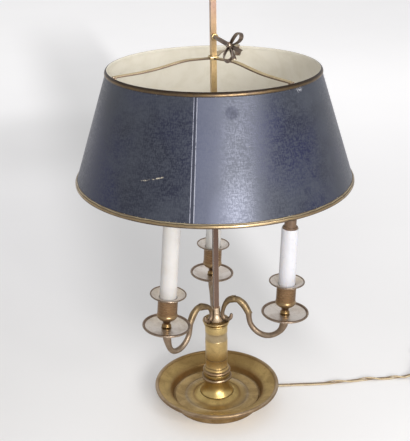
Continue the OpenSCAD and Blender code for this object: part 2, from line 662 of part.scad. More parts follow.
// The line that the thumb screw lies on: +X is turned to run straight out of the rod's front
module screw_line() {
    translate([0, 0, screw_z]) rotate([0, 0, rod_turn - 90]) rotate([0, 90, 0]) children();
}
module shade_sleeve() {
    color("goldenrod") difference() {
        union() {
            rotate([0, 0, rod_turn]) translate([-sleeve_w / 2, -sleeve_w / 2, sleeve_z])
                cube([sleeve_w, sleeve_w, sleeve_h]);
            screw_line() cylinder(r = boss_r, h = sleeve_w / 2 + boss_l, $fn = FINE);
        }
        rod_space(sleeve_z - overcut, sleeve_h + 2 * overcut, slide_gap);
        screw_line() cylinder(r = screw_r + turn_gap, h = sleeve_w + boss_l, $fn = FINE);
    }
}
// Three flat strips run level out of the hub, sink in a long curve to the rim, lie on the
// binding and end in tabs turned down against the inside of the sheet.
// Each row: share of the way out to the binding, share of the drop
spider_az = [207, 312, 75.5];
STRIP_LINE = [[0.2, -0.06], [0.257, -0.07], [0.33, 0.01], [0.42, 0.21], [0.507, 0.43], [0.615, 0.66],
    [0.73, 0.82], [0.845, 0.91], [0.95, 0.96]];
tab_h = 9;
strip_over = 2;
module spider_arm() {
    t = spider_t;
    // A flat tab in a round rim stands off in its middle by this much
    sag = spider_w * spider_w / 8 / sheet_top_r;
    rest_z = sheet_top_z + bead_h / 2 + 0.05;
    rim_low_z = sheet_top_z - bead_h / 2;
    bead_in = sheet_r(sheet_top_z) - shade_t / 2 + bead_out - norm([bead_t, slope * bead_h]) / 2
        - fit_gap - sag;
    wall_r = min(bead_in, sheet_r(rim_low_z - 0.6) - shade_t - fit_gap - sag);
    tab_r = sheet_r(rim_low_z - tab_h) - shade_t - fit_gap - sag;
    line = [for (p = STRIP_LINE) [bead_in * p[0], spider_z + (rest_z - spider_z) * p[1]]];
    last = len(line) - 1;
    rotate([90, 0, 0]) linear_extrude(spider_w, center = true) polygon(concat(
        [[hub_w / 2 - 1, spider_z]], line, [[bead_in - t, rest_z - 0.6], [wall_r - t, rim_low_z - 0.6],
            [tab_r - t, rim_low_z - tab_h], [tab_r, rim_low_z - tab_h], [wall_r, rim_low_z - 0.6],
            [bead_in, rest_z], [bead_in + strip_over, rest_z], [bead_in + strip_over, rest_z + t - 0.4]],
        [for (i = [last:-1:0]) line[i] + [0, t]], [[hub_w / 2 - 1, spider_z + t]]));
}
module shade_spider() {
    color("goldenrod") difference() {
        union() {
            rotate([0, 0, rod_turn]) translate([-hub_w / 2, -hub_w / 2, spider_z - 1])
                cube([hub_w, hub_w, hub_h]);
            for (az = spider_az) rotate([0, 0, az]) spider_arm();
        }
        rotate([0, 0, rod_turn]) translate([-sleeve_w / 2, -sleeve_w / 2, spider_z - 1 - overcut])
            cube([sleeve_w, sleeve_w, hub_h + 2 * overcut]);
    }
}

// ---------------------------------------------------------------- thumb screw

knot_r = 4.2;
tip_gap = 0.1;
module screw_shank() {
    from = rod_w / 2 + tip_gap;
    neck = bow_reach - knot_r;
    color("dimgray") screw_line() {
        translate([0, 0, from]) cylinder(r = screw_r, h = neck - from, $fn = FINE);
        translate([0, 0, neck - 2.4]) cylinder(r1 = screw_r, r2 = screw_r + 0.9, h = 1.4, $fn = FINE);
        translate([0, 0, neck - 1]) cylinder(r = screw_r + 0.9, h = 1, $fn = FINE);
    }
}
// One loop of ribbon lies along +X: a teardrop band that leaves the knot and comes back to it
function loop_line(l, w, n = 28) = [for (i = [0:n]) let (a = 360 * i / n)
    [l * (1 - cos(a)) / 2, w * sin(a) * pow(sin(a / 2), 1.3)]];
module ribbon_loop() {
    fat = bow_loop * 0.3;
    rotate([90, 0, 0]) linear_extrude(ribbon_w, center = true) difference() {
        polygon(loop_line(bow_loop, fat));
        translate([2.2 * ribbon_t, 0]) polygon(loop_line(bow_loop - 3.2 * ribbon_t, fat - ribbon_t));
    }
}
// A loose end of the ribbon lies along +X, widens and is cut with a swallow's tail
end_sides = [[-92, 36], [-138, 66]];
module ribbon_end() {
    w = ribbon_w / 2;
    linear_extrude(ribbon_t, center = true) polygon([[0, -w * 0.7], [bow_end * 0.6, -w * 0.8],
        [bow_end, -w], [bow_end - w, 0], [bow_end, w], [bow_end * 0.6, w * 0.8], [0, w * 0.7]]);
}
module screw_bow() {
    color("sienna") screw_line() translate([0, 0, bow_reach]) rotate([0, 0, 90 + bow_turn]) {
        for (side = [1, -1]) rotate([0, side * bow_spread - 90, 0]) ribbon_loop();
        for (e = end_sides) rotate([0, 0, e[0]]) rotate([0, e[1] - 90, 0]) ribbon_end();
        cylinder(r = knot_r, h = 2 * knot_r, center = true, $fn = FINE);
    }
}

// ---------------------------------------------------------------- cord, switch and plug

cord_r = 3;
exit_az = 20;
bushing_r = cord_r + 1.1;
bushing_z = bushing_r + 0.5;
lip_r = cord_r + 2.6;
lip_gap = 0.4;
CORD_SIDES = 12;

// The straight line through the foot ring along which the cord leaves, from radius r outwards
module cord_line(r) {
    rotate([0, 0, exit_az]) translate([r, 0, bushing_z]) rotate([0, 90, 0]) children();
}
// The bushing's lip is flat below and above, where the surface and the dish leave no room
module cord_bushing() {
    inner = foot_r - foot_wall;
    color("black") difference() {
        union() {
            cord_line(inner) cylinder(r = bushing_r, h = foot_wall + 3, $fn = FINE);
            intersection() {
                cord_line(foot_r + clear) cylinder(r1 = lip_r, r2 = bushing_r, h = 2.6, $fn = FINE);
                translate([0, 0, lip_gap]) cylinder(r = 2 * foot_r, h = dish_under_z - 2 * lip_gap, $fn = FINE);
            }
        }
        cord_line(inner - overcut) cylinder(r = cord_r, h = foot_wall + 8, $fn = FINE);
    }
}

// Route of the cord from inside the bushing over the surface, up to the switch
lie_z = cord_r + 0.1;
CORD_ROUTE = [[61.1, 22.2, 4.6], [68, 24.8, 4.6], [76, 27.7, 4.6], [88, 31.4, 4], [103, 35, 3.3],
    [122, 37.2, lie_z], [142, 38.2, lie_z], [162, 39, lie_z], [178, 40.2, lie_z], [193, 42, lie_z],
    [208, 44.4, lie_z], [223, 47, lie_z], [238, 49.6, lie_z], [253, 51.6, lie_z], [268, 53, lie_z],
    [284, 54.4, lie_z], [302, 56, lie_z], [316, 57, 3.8], [325, 57.5, 5.8], [330, 57.6, 6.8], [333, 57.6, 7], [336, 57.6, 7]];
LINK_ROUTE = [[394, 57.6, 7], [396, 57.6, 7], [400, 57.6, 6.6], [407, 57.6, 5], [413, 57.6, 4.3],
    [416, 57.6, 4.2]];
TAIL_ROUTE = [[416, 123.6, 4.2], [413, 123.6, 4.3], [408, 123.8, 5.2], [403, 124, 6.6], [400, 124, 7],
    [398, 124, 7]];

function unit(v) = v / norm(v);
function cord_ring(p, d) = let (f = unit(d), s = unit(cross([0, 0, 1], f)), u = cross(f, s))
    [for (k = [0:CORD_SIDES - 1]) let (a = 360 * (k + 0.5) / CORD_SIDES)
        p + cord_r * (cos(a) * s + sin(a) * u)];
module cord_along(route) {
    n = len(route);
    rings = [for (i = [0:n - 1]) let (q = route[min(i + 1, n - 1)], o = route[max(i - 1, 0)])
        each cord_ring(route[i], q - o)];
    color("khaki") polyhedron(rings, tube_faces(n, CORD_SIDES), convexity = 4);
}
module cord_lead() { cord_along(CORD_ROUTE); }
module cord_link() { cord_along(LINK_ROUTE); }
module cord_tail() { cord_along(TAIL_ROUTE); }

// The coil: turns lie three wide and two high, one cord apart
coil_at = [440, 90.6];
coil_mid_r = 33;
coil_low_z = 1;
turns_wide = 3;
turns_high = 2;
coil_w = 2 * cord_r * turns_wide;
coil_h = 2 * cord_r * turns_high;
module coil_outline(grow) {
    translate([coil_mid_r - coil_w / 2 - grow, coil_low_z - grow])
        square([coil_w + 2 * grow, coil_h + 2 * grow]);
}
module cord_coil() {
    color("khaki") translate(coil_at) rotate_extrude($fn = ROUND) coil_outline(0);
}
tie_t = 0.8;
tie_deg = 14;
module cord_tie() {
    color("black") translate(coil_at) rotate([0, 0, -tie_deg / 2]) difference() {
        rotate_extrude(angle = tie_deg, $fn = ROUND) coil_outline(tie_t);
        rotate([0, 0, -tie_deg]) rotate_extrude(angle = 3 * tie_deg, $fn = ROUND) coil_outline(0);
    }
}

// The switch: a rounded housing lying along the cord, open at the top for the rocker
switch_at = [336, 57.6];
rocker_l = 18;
rocker_w = 9;
rocker_half = rocker_l / 2 - 0.6;
pivot_r = 1.2;
pivot_hold = 1.6;
well_gap = 0.5;
well_deep = 8;
rocker_z = switch_h - 2.5;
module pivot_line(half, r) {
    translate([switch_at[0] + switch_l / 2, switch_at[1], rocker_z - 2]) rotate([90, 0, 0])
        cylinder(r = r, h = 2 * half, center = true, $fn = FINE);
}
module switch_body() {
    corner = 7;
    edge = 1.5;
    color("black") difference() {
        translate([switch_at[0], switch_at[1], 0]) difference() {
            hull() for (x = [corner, switch_l - corner], y = [-1, 1]) translate([x, y * (switch_w / 2 - corner), 0]) {
                cylinder(r = corner - edge, h = switch_h, $fn = 32);
                translate([0, 0, edge]) cylinder(r = corner, h = switch_h - 2 * edge, $fn = 32);
            }
            translate([switch_l / 2 - rocker_l / 2 - well_gap, -rocker_w / 2 - well_gap, rocker_z - well_deep])
                cube([rocker_l + 2 * well_gap, rocker_w + 2 * well_gap, switch_h]);
        }
        pivot_line(rocker_w / 2 + well_gap + pivot_hold, pivot_r + turn_gap);
    }
}
// The rocker: a shallow V of two pads on a hinge pin, tipped to the off side at rest
module switch_rocker() {
    color("dimgray") {
        translate([switch_at[0] + switch_l / 2, switch_at[1], rocker_z - 2]) rotate([0, -rocker_tilt, 0])
            rotate([90, 0, 0]) linear_extrude(rocker_w, center = true)
            polygon([[-rocker_half, -1], [-2.5, -3.5], [2.5, -3.5], [rocker_half, -1], [rocker_half, 5.4],
                [0, 3.6], [-rocker_half, 5.4]]);
        pivot_line(rocker_w / 2 + well_gap + pivot_hold - fit_gap, pivot_r);
    }
}
// The plug lies flat: a tapered grip, wider at the face that the two blades stand in
plug_at = [398, 124];
grip_r = 5;
module plug_body() {
    face = 0.55 * plug_l;
    color("black") translate([plug_at[0], plug_at[1], plug_t / 2]) rotate([0, -90, 0]) {
        hull() {
            translate([0, 0, 7]) cylinder(r = grip_r, h = 1, $fn = 32);
            for (s = [-1, 1]) translate([0, s * (plug_w - plug_t) / 2, face])
                cylinder(r = plug_t / 2, h = plug_l - face, $fn = 32);
        }
        cylinder(r1 = cord_r + 0.8, r2 = grip_r, h = 7.5, $fn = FINE);
    }
}
blade_apart = 12.7;
blade_w = 6.4;
blade_t = 1.5;
module plug_blades() {
    for (s = [-1, 1]) color("silver")
        translate([plug_at[0] - plug_l, plug_at[1] + s * blade_apart / 2, plug_t / 2]) rotate([90, 0, 180])
            linear_extrude(blade_t, center = true) polygon([[0, -blade_w / 2], [blade_l - 2, -blade_w / 2],
                [blade_l, -blade_w / 2 + 1.6], [blade_l, blade_w / 2 - 1.6], [blade_l - 2, blade_w / 2],
                [0, blade_w / 2]]);
}

base_dish();
base_cover();
threaded_tube();
lock_nut();
lock_washer();
column_foot();
column_knop();
column_ferrule();
column_shaft();
capital();
column_roof();
centre_rod();
finial();
arm_left();
arm_right();
arm_back();
pan_left();
pan_right();
pan_back();
cup_left();
cup_right();
cup_back();
catcher_left();
catcher_right();
catcher_back();
candle_left();
candle_right();
candle_back();
holder_left();
holder_right();
holder_back();
bulb_left();
bulb_right();
bulb_back();
nipple_left();
nipple_right();
nipple_back();
shade_sleeve();
shade_spider();
shade_cone();
shade_bead_top();
shade_bead_low();
shade_seam();
screw_shank();
screw_bow();
cord_bushing();
cord_lead();
switch_body();
switch_rocker();
cord_link();
cord_coil();
cord_tie();
cord_tail();
plug_body();
plug_blades();
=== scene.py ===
"""Three-candle bouillotte lamp with a painted metal shade: the visual model.

The lamp stands on the floor plane with its rod on the Z axis and its open front towards -Y.
Outlines and lines are written in millimetres and made in metres. Solid pieces whose outline is
already right keep their solid and get a finish; the others are modelled here, ring by ring, and
stand in for the solid they are named after.
"""

import logging
import math
from collections.abc import Callable, Iterable, Sequence
from dataclasses import dataclass
from enum import Enum
from functools import reduce

import bmesh
import bpy
from mathutils import Matrix, Vector


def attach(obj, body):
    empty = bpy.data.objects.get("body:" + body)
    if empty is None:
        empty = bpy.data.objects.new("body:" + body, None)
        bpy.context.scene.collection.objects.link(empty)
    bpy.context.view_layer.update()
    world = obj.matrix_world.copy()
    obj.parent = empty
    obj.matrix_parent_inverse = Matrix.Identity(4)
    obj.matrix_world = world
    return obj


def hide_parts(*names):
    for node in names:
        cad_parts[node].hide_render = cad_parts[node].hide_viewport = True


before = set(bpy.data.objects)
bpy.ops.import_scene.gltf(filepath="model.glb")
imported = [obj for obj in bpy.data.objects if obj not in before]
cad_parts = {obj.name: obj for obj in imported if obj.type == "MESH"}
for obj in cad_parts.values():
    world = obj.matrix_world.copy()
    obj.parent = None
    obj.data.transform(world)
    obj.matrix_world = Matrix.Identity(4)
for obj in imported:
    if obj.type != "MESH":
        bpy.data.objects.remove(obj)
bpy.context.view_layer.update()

LOG = logging.getLogger("lamp")
MM = 0.001
# Heights in millimetres: the capital's top, the seats on the arms' ends and the finial's foot.
CAPITAL_TOP = 147.0
SEAT_TOP = 173.0
FINIAL_FOOT = 668.0
# Where the flex leaves the foot, in metres.
BUSHING = (0.0611, 0.0222, 0.0046)
Colour = tuple[float, float, float]
Point = tuple[float, float, float]
Spot = tuple[float, float]
Socket = bpy.types.NodeSocket
Piece = bpy.types.Object
Material = bpy.types.Material
Row = tuple[float, float, float, float]
Stops = tuple[tuple[float, Colour], ...]
Rule = Callable[[Vector, Vector], bool]


def tint(red: int, green: int, blue: int) -> Colour:
    """Turns a screen colour of 0 to 255 a channel into the linear colour that shaders take."""
    shares = (red / 255, green / 255, blue / 255)
    return tuple(s / 12.92 if s <= 0.04045 else ((s + 0.055) / 1.055) ** 2.4 for s in shares)


def held(value: float) -> float:
    """Holds a value between 0 and 1."""
    return min(max(value, 0.0), 1.0)


def spline(points: Sequence[Sequence[float]], steps: int) -> list[tuple[float, ...]]:
    """Draws a smooth curve through rows of numbers.

    Args:
        points: The rows, all of one length.
        steps: Points on each stretch between two rows.

    Returns:
        The rows of the curve, first and last included.
    """
    rows = [tuple(p) for p in points]
    curve: list[tuple[float, ...]] = []
    for i in range(len(rows) - 1):
        around = rows[max(i - 1, 0)], rows[i], rows[i + 1], rows[min(i + 2, len(rows) - 1)]
        for k in range(steps):
            t = k / steps
            curve.append(tuple(0.5 * (2 * b + (c - a) * t + (2 * a - 5 * b + 4 * c - d) * t * t
                                      + (3 * b - a - 3 * c + d) * t ** 3) for a, b, c, d in zip(*around)))
    return [*curve, rows[-1]]


def arc(x: float, z: float, radius: float, start: float, end: float, steps: int = 8) -> list[Spot]:
    """Returns points on an arc about a spot.

    Args:
        x: The spot's distance from the axis.
        z: Its height.
        radius: The arc's radius.
        start: Its first angle in degrees, 0 outwards and 90 up.
        end: Its last angle.
        steps: Stretches along it.
    """
    angles = [math.radians(start + (end - start) * k / steps) for k in range(steps + 1)]
    return [(x + radius * math.cos(a), z + radius * math.sin(a)) for a in angles]


# ---- node graphs


class Graph:
    """Short calls that lay out the node tree of one material."""

    def __init__(self, name: str) -> None:
        """Starts a material with a principled shader and its output.

        Args:
            name: The material's name.
        """
        self.material: Material = bpy.data.materials.new(name)
        self.material.use_nodes = True
        self.tree = self.material.node_tree
        self.tree.nodes.clear()
        out = self.tree.nodes.new("ShaderNodeOutputMaterial")
        self.shader = self.tree.nodes.new("ShaderNodeBsdfPrincipled")
        self.tree.links.new(self.shader.outputs[0], out.inputs[0])
        self.place = self.tree.nodes.new("ShaderNodeTexCoord").outputs["Object"]

    def feed(self, socket: Socket, value: object) -> None:
        """Links or sets one input.

        Args:
            socket: The input.
            value: A socket to link, a number, a colour or a vector.
        """
        if isinstance(value, bpy.types.NodeSocket):
            self.tree.links.new(value, socket)
        elif isinstance(value, tuple) and socket.type == "RGBA":
            socket.default_value = (*value, 1.0)
        else:
            socket.default_value = value

    def node(self, kind: str, inputs: dict[str | int, object], **settings: object) -> bpy.types.Node:
        """Adds a node.

        Args:
            kind: The node's Blender type.
            inputs: Input names or indices and what goes into them.
            **settings: The node's own properties.

        Returns:
            The node.
        """
        made = self.tree.nodes.new(kind)
        for key, value in settings.items():
            setattr(made, key, value)
        for key, value in inputs.items():
            self.feed(made.inputs[key], value)
        return made

    def shade(self, **inputs: object) -> Material:
        """Feeds the shader and returns the material.

        Args:
            **inputs: Values by input name, with an underscore for a space.
        """
        for key, value in inputs.items():
            self.feed(self.shader.inputs[key.replace("_", " ")], value)
        return self.material

    def mapped(self, scale: Point = (1, 1, 1), move: Point = (0, 0, 0)) -> Socket:
        """Returns the object coordinates, moved and then scaled by axis."""
        moved = self.node("ShaderNodeVectorMath", {0: self.place, 1: move}, operation="ADD").outputs[0]
        return self.node("ShaderNodeVectorMath", {0: moved, 1: scale}, operation="MULTIPLY").outputs[0]

    def noise(self, scale: float, detail: float = 3, rough: float = 0.55, at: Socket | None = None,
              warp: float = 0.0) -> Socket:
        """Returns a cloud pattern from 0 to 1.

        Args:
            scale: Clouds a metre.
            detail: Octaves.
            rough: Strength of the finer octaves.
            at: Coordinates; the object's own when left out.
            warp: How far the pattern is drawn out of shape.
        """
        inputs = {"Vector": at or self.place, "Scale": scale, "Detail": detail, "Roughness": rough,
                  "Distortion": warp}
        return self.node("ShaderNodeTexNoise", inputs).outputs["Fac"]

    def calc(self, operation: str, a: object, b: object = 0.0) -> Socket:
        """Returns one sum of two values."""
        return self.node("ShaderNodeMath", {0: a, 1: b}, operation=operation).outputs[0]

    def times(self, *values: object) -> Socket:
        """Returns the product of two values or more."""
        return reduce(lambda a, b: self.calc("MULTIPLY", a, b), values)

    def plus(self, a: object, b: object) -> Socket:
        """Returns the sum of two values."""
        return self.calc("ADD", a, b)

    def most(self, *values: object) -> Socket:
        """Returns the largest of two values or more."""
        return reduce(lambda a, b: self.calc("MAXIMUM", a, b), values)

    def off(self, value: object, middle: float) -> Socket:
        """Returns how far a value lies from a middle, either way."""
        return self.calc("ABSOLUTE", self.calc("SUBTRACT", value, middle))

    def length(self, vector: Socket) -> Socket:
        """Returns a vector's length."""
        return self.node("ShaderNodeVectorMath", {0: vector}, operation="LENGTH").outputs["Value"]

    def span(self, value: object, low: float, high: float, start: float = 0.0, end: float = 1.0) -> Socket:
        """Stretches the range low..high of a value to start..end, held at both ends."""
        inputs = {"Value": value, "From Min": low, "From Max": high, "To Min": start, "To Max": end}
        return self.node("ShaderNodeMapRange", inputs, clamp=True, interpolation_type="SMOOTHSTEP").outputs[0]

    def uneven(self, scale: float, low: float, high: float) -> Socket:
        """Returns a roughness that wanders between two values."""
        return self.span(self.noise(scale, 3), 0.3, 0.7, low, high)

    def mix(self, share: object, a: object, b: object, strength: float | None = None) -> Socket:
        """Returns a colour with another laid over it.

        Args:
            share: Where the second colour lies, 0 to 1.
            a: The first colour.
            b: The second colour.
            strength: How much of it shows where it lies fully; all of it when left out.
        """
        if strength is not None:
            share = self.times(share, strength)
        return self.node("ShaderNodeMix", {0: share, 6: a, 7: b}, data_type="RGBA").outputs[2]

    def ramp(self, value: Socket, stops: Stops) -> Socket:
        """Returns a colour that changes with a value.

        Args:
            value: The value.
            stops: Values and their colours in rising order, 16 at most.
        """
        low, high = stops[0][0], stops[-1][0]
        inputs = {"Value": value, "From Min": low, "From Max": high}
        made = self.node("ShaderNodeValToRGB", {0: self.node("ShaderNodeMapRange", inputs).outputs[0]})
        band = made.color_ramp
        for place, colour in stops[1:-1]:
            band.elements.new((place - low) / (high - low)).color = (*colour, 1.0)
        band.elements[0].color = (*stops[0][1], 1.0)
        band.elements[len(stops) - 1].color = (*stops[-1][1], 1.0)
        return made.outputs[0]

    def bump(self, height: Socket, depth: float, under: Socket | None = None,
             strength: float = 1.0) -> Socket:
        """Returns a normal raised by a height pattern.

        Args:
            height: The pattern, 0 to 1.
            depth: Its height in metres.
            under: A normal that it lies on.
            strength: Its share.
        """
        inputs: dict[str | int, object] = {"Height": height, "Distance": depth, "Strength": strength}
        if under is not None:
            inputs["Normal"] = under
        return self.node("ShaderNodeBump", inputs).outputs[0]

    def parts(self) -> tuple[Socket, Socket, Socket]:
        """Returns the X, Y and Z of the object coordinates."""
        made = self.node("ShaderNodeSeparateXYZ", {0: self.place})
        return made.outputs[0], made.outputs[1], made.outputs[2]

    def from_spot(self, spot: Point) -> Socket:
        """Returns the distance from a point."""
        return self.length(self.mapped(move=(-spot[0], -spot[1], -spot[2])))

    def from_axis(self) -> Socket:
        """Returns the distance from the lamp's axis."""
        return self.length(self.mapped((1, 1, 0)))

    def bearing(self) -> Socket:
        """Returns the angle about the axis in degrees, 0 at the front and growing to the right."""
        across, away, _ = self.parts()
        turn = self.calc("ARCTAN2", across, self.times(away, -1.0))
        return self.times(turn, 180 / math.pi)

    def edges(self, radius: float) -> Socket:
        """Returns 1 on sharp edges and 0 on flat surface, from a rounded normal.

        Args:
            radius: How far the rounding reaches, in metres.
        """
        soft = self.node("ShaderNodeBevel", {"Radius": radius}, samples=4).outputs[0]
        true = self.node("ShaderNodeNewGeometry", {}).outputs["Normal"]
        same = self.node("ShaderNodeVectorMath", {0: soft, 1: true}, operation="DOT_PRODUCT").outputs["Value"]
        return self.span(same, 0.985, 0.80)

    def hollows(self, reach: float) -> Socket:
        """Returns 1 deep in a corner and 0 in the open."""
        open_share = self.node("ShaderNodeAmbientOcclusion", {"Distance": reach}, samples=6).outputs["AO"]
        return self.span(open_share, 0.78, 0.25)


# ---- finishes


class Along(Enum):
    """What the bands of a finish run along."""

    HEIGHT = "height"
    RADIUS = "radius"


class Marks(Enum):
    """Tool marks left on a brass surface."""

    NONE = "none"
    LATHE = "lathe"
    SPUN = "spun"
    DRAWN = "drawn"


@dataclass(frozen=True)
class AgedBrass:
    """Old brass: worn bright on its edges, clouded on its faces, brown in its corners.

    Attributes:
        bands: Heights or radii in metres and the open surface's colour there.
        dull: Colour of the clouds on it, and of the painted shade laid on a dish's far side.
        worn: Colour of the rubbed edges, and of the painted light laid on the front of a dish.
        grime: Colour of the corners.
        rough: Roughness of the cleanest and of the dullest surface.
        cloud: Clouds a metre.
        pits: Depth of the surface's pitting in metres.
        marks: Tool marks.
        wear: Radius of the rubbed edges in metres.
        corner: How far the grime spreads out of a corner in metres.
        along: What the bands run along.
        clouded: Share of the surface's colour that the clouds take.
        painted_shading: Strength of the painted shade laid on the side away from the front, and of the
            painted light laid on the dish's front inside its rim.
    """

    bands: Stops
    dull: Colour
    worn: Colour
    grime: Colour
    rough: Spot = (0.26, 0.5)
    cloud: float = 60.0
    pits: float = 0.00003
    marks: Marks = Marks.NONE
    wear: float = 0.0009
    corner: float = 0.004
    along: Along = Along.HEIGHT
    clouded: float = 0.5
    painted_shading: float = 0.0

    def make(self, name: str) -> Material:
        """Returns the finish as a material.

        Args:
            name: The material's name.
        """
        g = Graph(name)
        where = g.from_axis() if self.along is Along.RADIUS else g.parts()[2]
        wander = g.times(g.calc("SUBTRACT", g.noise(45, 3, 0.6), 0.5), 0.003)
        body = g.ramp(g.plus(where, wander), self.bands)
        # Painted shade on the side away from the front, and painted light (the front mask) on the dish's
        # front inside its rim.
        if self.painted_shading:
            _, away, height = g.parts()
            body = g.mix(g.span(away, 0.03, 0.085, 0.0, self.painted_shading), body, self.dull)
            front = g.times(g.span(away, -0.02, -0.07, 0.0, 0.7 * self.painted_shading),
                            g.span(where, 0.095, 0.090), g.span(height, 0.009, 0.0115))
            body = g.mix(front, body, self.worn)
        clouds = g.span(g.noise(self.cloud, 5, 0.6, warp=0.6), 0.38, 0.66)
        specks = g.span(g.noise(self.cloud * 12, 3, 0.6), 0.58, 0.68)
        colour = g.mix(clouds, body, self.dull, self.clouded)
        colour = g.mix(specks, colour, self.grime, 0.3)
        edge = g.times(g.edges(self.wear), g.span(g.noise(self.cloud * 5, 3), 0.3, 0.6))
        colour = g.mix(edge, colour, self.worn, 0.85)
        corner = g.hollows(self.corner)
        colour = g.mix(corner, colour, self.grime, 0.85)
        level = g.plus(g.times(clouds, 0.6), g.times(corner, 0.6))
        rough = g.span(level, 0.0, 1.0, *self.rough)
        return g.shade(Base_Color=colour, Metallic=1.0, Roughness=rough, Normal=self.surface(g))

    def surface(self, g: Graph) -> Socket:
        """Returns the normal with its pits and tool marks.

        Args:
            g: The material's graph.
        """
        normal = g.bump(g.noise(700, 4, 0.6), self.pits)
        if self.marks is Marks.NONE:
            return normal
        if self.marks is Marks.DRAWN:
            return g.bump(g.noise(1400, 2, 0.6, g.mapped((1, 1, 0.03))), 0.00002, normal, 0.6)
        kind = "BANDS" if self.marks is Marks.LATHE else "RINGS"
        inputs = {"Vector": g.place, "Scale": 260.0, "Distortion": 0.5, "Detail": 2.0}
        along_z = {f"{kind.lower()}_direction": "Z"}
        wave = g.node("ShaderNodeTexWave", inputs, wave_type=kind, **along_z)
        return g.bump(wave.outputs["Fac"], 0.000012, normal, 0.6)


@dataclass(frozen=True)
class ShadePaint:
    """Satin oven paint on sheet metal, with a fine woven grain, scratches and edge chips, a painted sheen
    right of its seam and painted shade left of it.

    Attributes:
        body: Colour of the paint.
        shift: Colour that it drifts to.
        lighter: Colour of its grain.
        chip: Colour of the bare metal under it.
    """

    body: Colour = tint(22, 24, 36)
    shift: Colour = tint(12, 16, 52)
    lighter: Colour = tint(60, 64, 72)
    chip: Colour = tint(190, 180, 160)

    def make(self, name: str) -> Material:
        """Returns the finish as a material.

        Args:
            name: The material's name.
        """
        g = Graph(name)
        bearing, (_, _, height) = g.bearing(), g.parts()
        colour = g.mix(g.span(g.noise(9, 3, 0.5), 0.35, 0.65), self.body, self.shift)
        # Painted sheen: the left and low masks mark the band just right of the seam and the lower front,
        # where the lights are reflected.
        left = g.times(g.span(bearing, -7.9, -7.5), g.span(bearing, 12, -7, 0.0, 0.6))
        low = g.times(g.span(g.off(bearing, 4), 15, 4), g.span(height, 0.47, 0.40, 0.0, 0.7))
        # Painted shade: darker, bluer paint just left of the seam, where the sheen breaks off.
        painted_shade_before_seam = g.times(g.span(bearing, -8.9, -8.2, 1.0, 0.0), g.span(bearing, -40, -14),
                              g.span(height, 0.52, 0.42, 0.1, 1.0))
        colour = g.mix(painted_shade_before_seam, colour, tint(8, 11, 30), 0.6)
        grain = g.noise(820, 1, 0.5, g.mapped((1, 1, 0.06)))
        cross = g.noise(820, 1, 0.5, g.mapped((0.16, 0.16, 1.0)))
        weave = g.plus(g.times(grain, 0.6), g.times(cross, 0.4))
        colour = g.mix(g.span(weave, 0.40, 0.62, 0.0, 0.6), colour, self.lighter)
        clouds = g.noise(16, 5, 0.62, warp=0.3)
        colour = g.mix(g.span(clouds, 0.42, 0.70, 0.0, 0.55), colour, self.lighter)
        colour = g.mix(g.span(height, 0.50, 0.54, 0.0, 0.35), colour, self.lighter)
        # The painted sheen is laid over both masks.
        colour = g.mix(g.most(left, low), colour, tint(98, 102, 120))
        colour = g.mix(self.scratches(g), colour, self.chip, 0.75)
        flecks = g.noise(420, 3, 0.6)
        chips = g.times(g.span(flecks, 0.60, 0.66), g.span(height, 0.3915, 0.3885))
        high = g.times(g.span(flecks, 0.62, 0.68), g.span(height, 0.537, 0.540))
        colour = g.mix(g.most(chips, high), colour, self.chip)
        stain = g.span(g.from_spot((0.0223, -0.1549, 0.520)), 0.0095, 0.0065)
        colour = g.mix(stain, colour, tint(14, 18, 48), 0.45)
        flakes = g.times(g.span(g.from_spot((0.1085, -0.1036, 0.5395)), 0.009, 0.004),
                         g.span(g.noise(520, 2), 0.5, 0.62))
        colour = g.mix(flakes, colour, tint(176, 176, 182), 0.7)
        rough = g.plus(g.span(weave, 0.38, 0.62, 0.32, 0.48), g.span(clouds, 0.4, 0.7, 0.0, 0.06))
        rough = g.plus(rough, g.times(stain, 0.10))
        return g.shade(Base_Color=colour, Roughness=rough, Normal=g.bump(weave, 0.00002), Coat_Weight=0.08,
                       Coat_Roughness=0.3, Specular_Tint=(0.80, 0.84, 1.0), Specular_IOR_Level=0.62)

    def scratches(self, g: Graph) -> Socket:
        """Returns 1 on the paint's scratches: one long one at the left and many short slanting ones.

        Args:
            g: The material's graph.
        """
        leaning = g.node("ShaderNodeMapping", {"Vector": g.place, "Rotation": (0.0, 0.6, 0.0)})
        drawn_out = g.node("ShaderNodeVectorMath", {0: leaning.outputs[0], 1: (0.35, 0.35, 7.0)},
                           operation="MULTIPLY").outputs[0]
        short = g.span(g.noise(60, 5, 0.7, drawn_out, 0.6), 0.725, 0.74)
        across, away, height = g.parts()
        line = g.calc("SUBTRACT", height, g.times(across, 0.29))
        long = g.times(g.span(g.off(line, 0.4606), 0.0011, 0.0004), g.span(across, -0.095, -0.091),
                       g.span(across, -0.063, -0.067), g.span(away, 0.0, -0.02),
                       g.span(g.noise(300, 2), 0.45, 0.55))
        return g.most(short, long)


@dataclass(frozen=True)
class LapPaint:
    """The paint on the seam's lap, with painted highlights along both its edges, broken up like rubbed paint.
    """

    def make(self, name: str) -> Material:
        """Returns the finish as a material.

        Args:
            name: The material's name.
        """
        g = Graph(name)
        # Painted highlights along both edges of the lap, where they catch the light, broken up by a noise.
        rubbed = g.times(g.span(g.off(g.bearing(), -8.5), 0.5, 0.62),
                         g.span(g.noise(160, 4, 0.6), 0.25, 0.5))
        colour = g.mix(g.noise(40), tint(42, 46, 62), tint(30, 33, 50))
        colour = g.mix(rubbed, colour, tint(160, 162, 176), 0.8)
        return g.shade(Base_Color=colour, Roughness=g.uneven(400, 0.36, 0.5),
                       Normal=g.bump(g.noise(1500, 2), 0.00003))


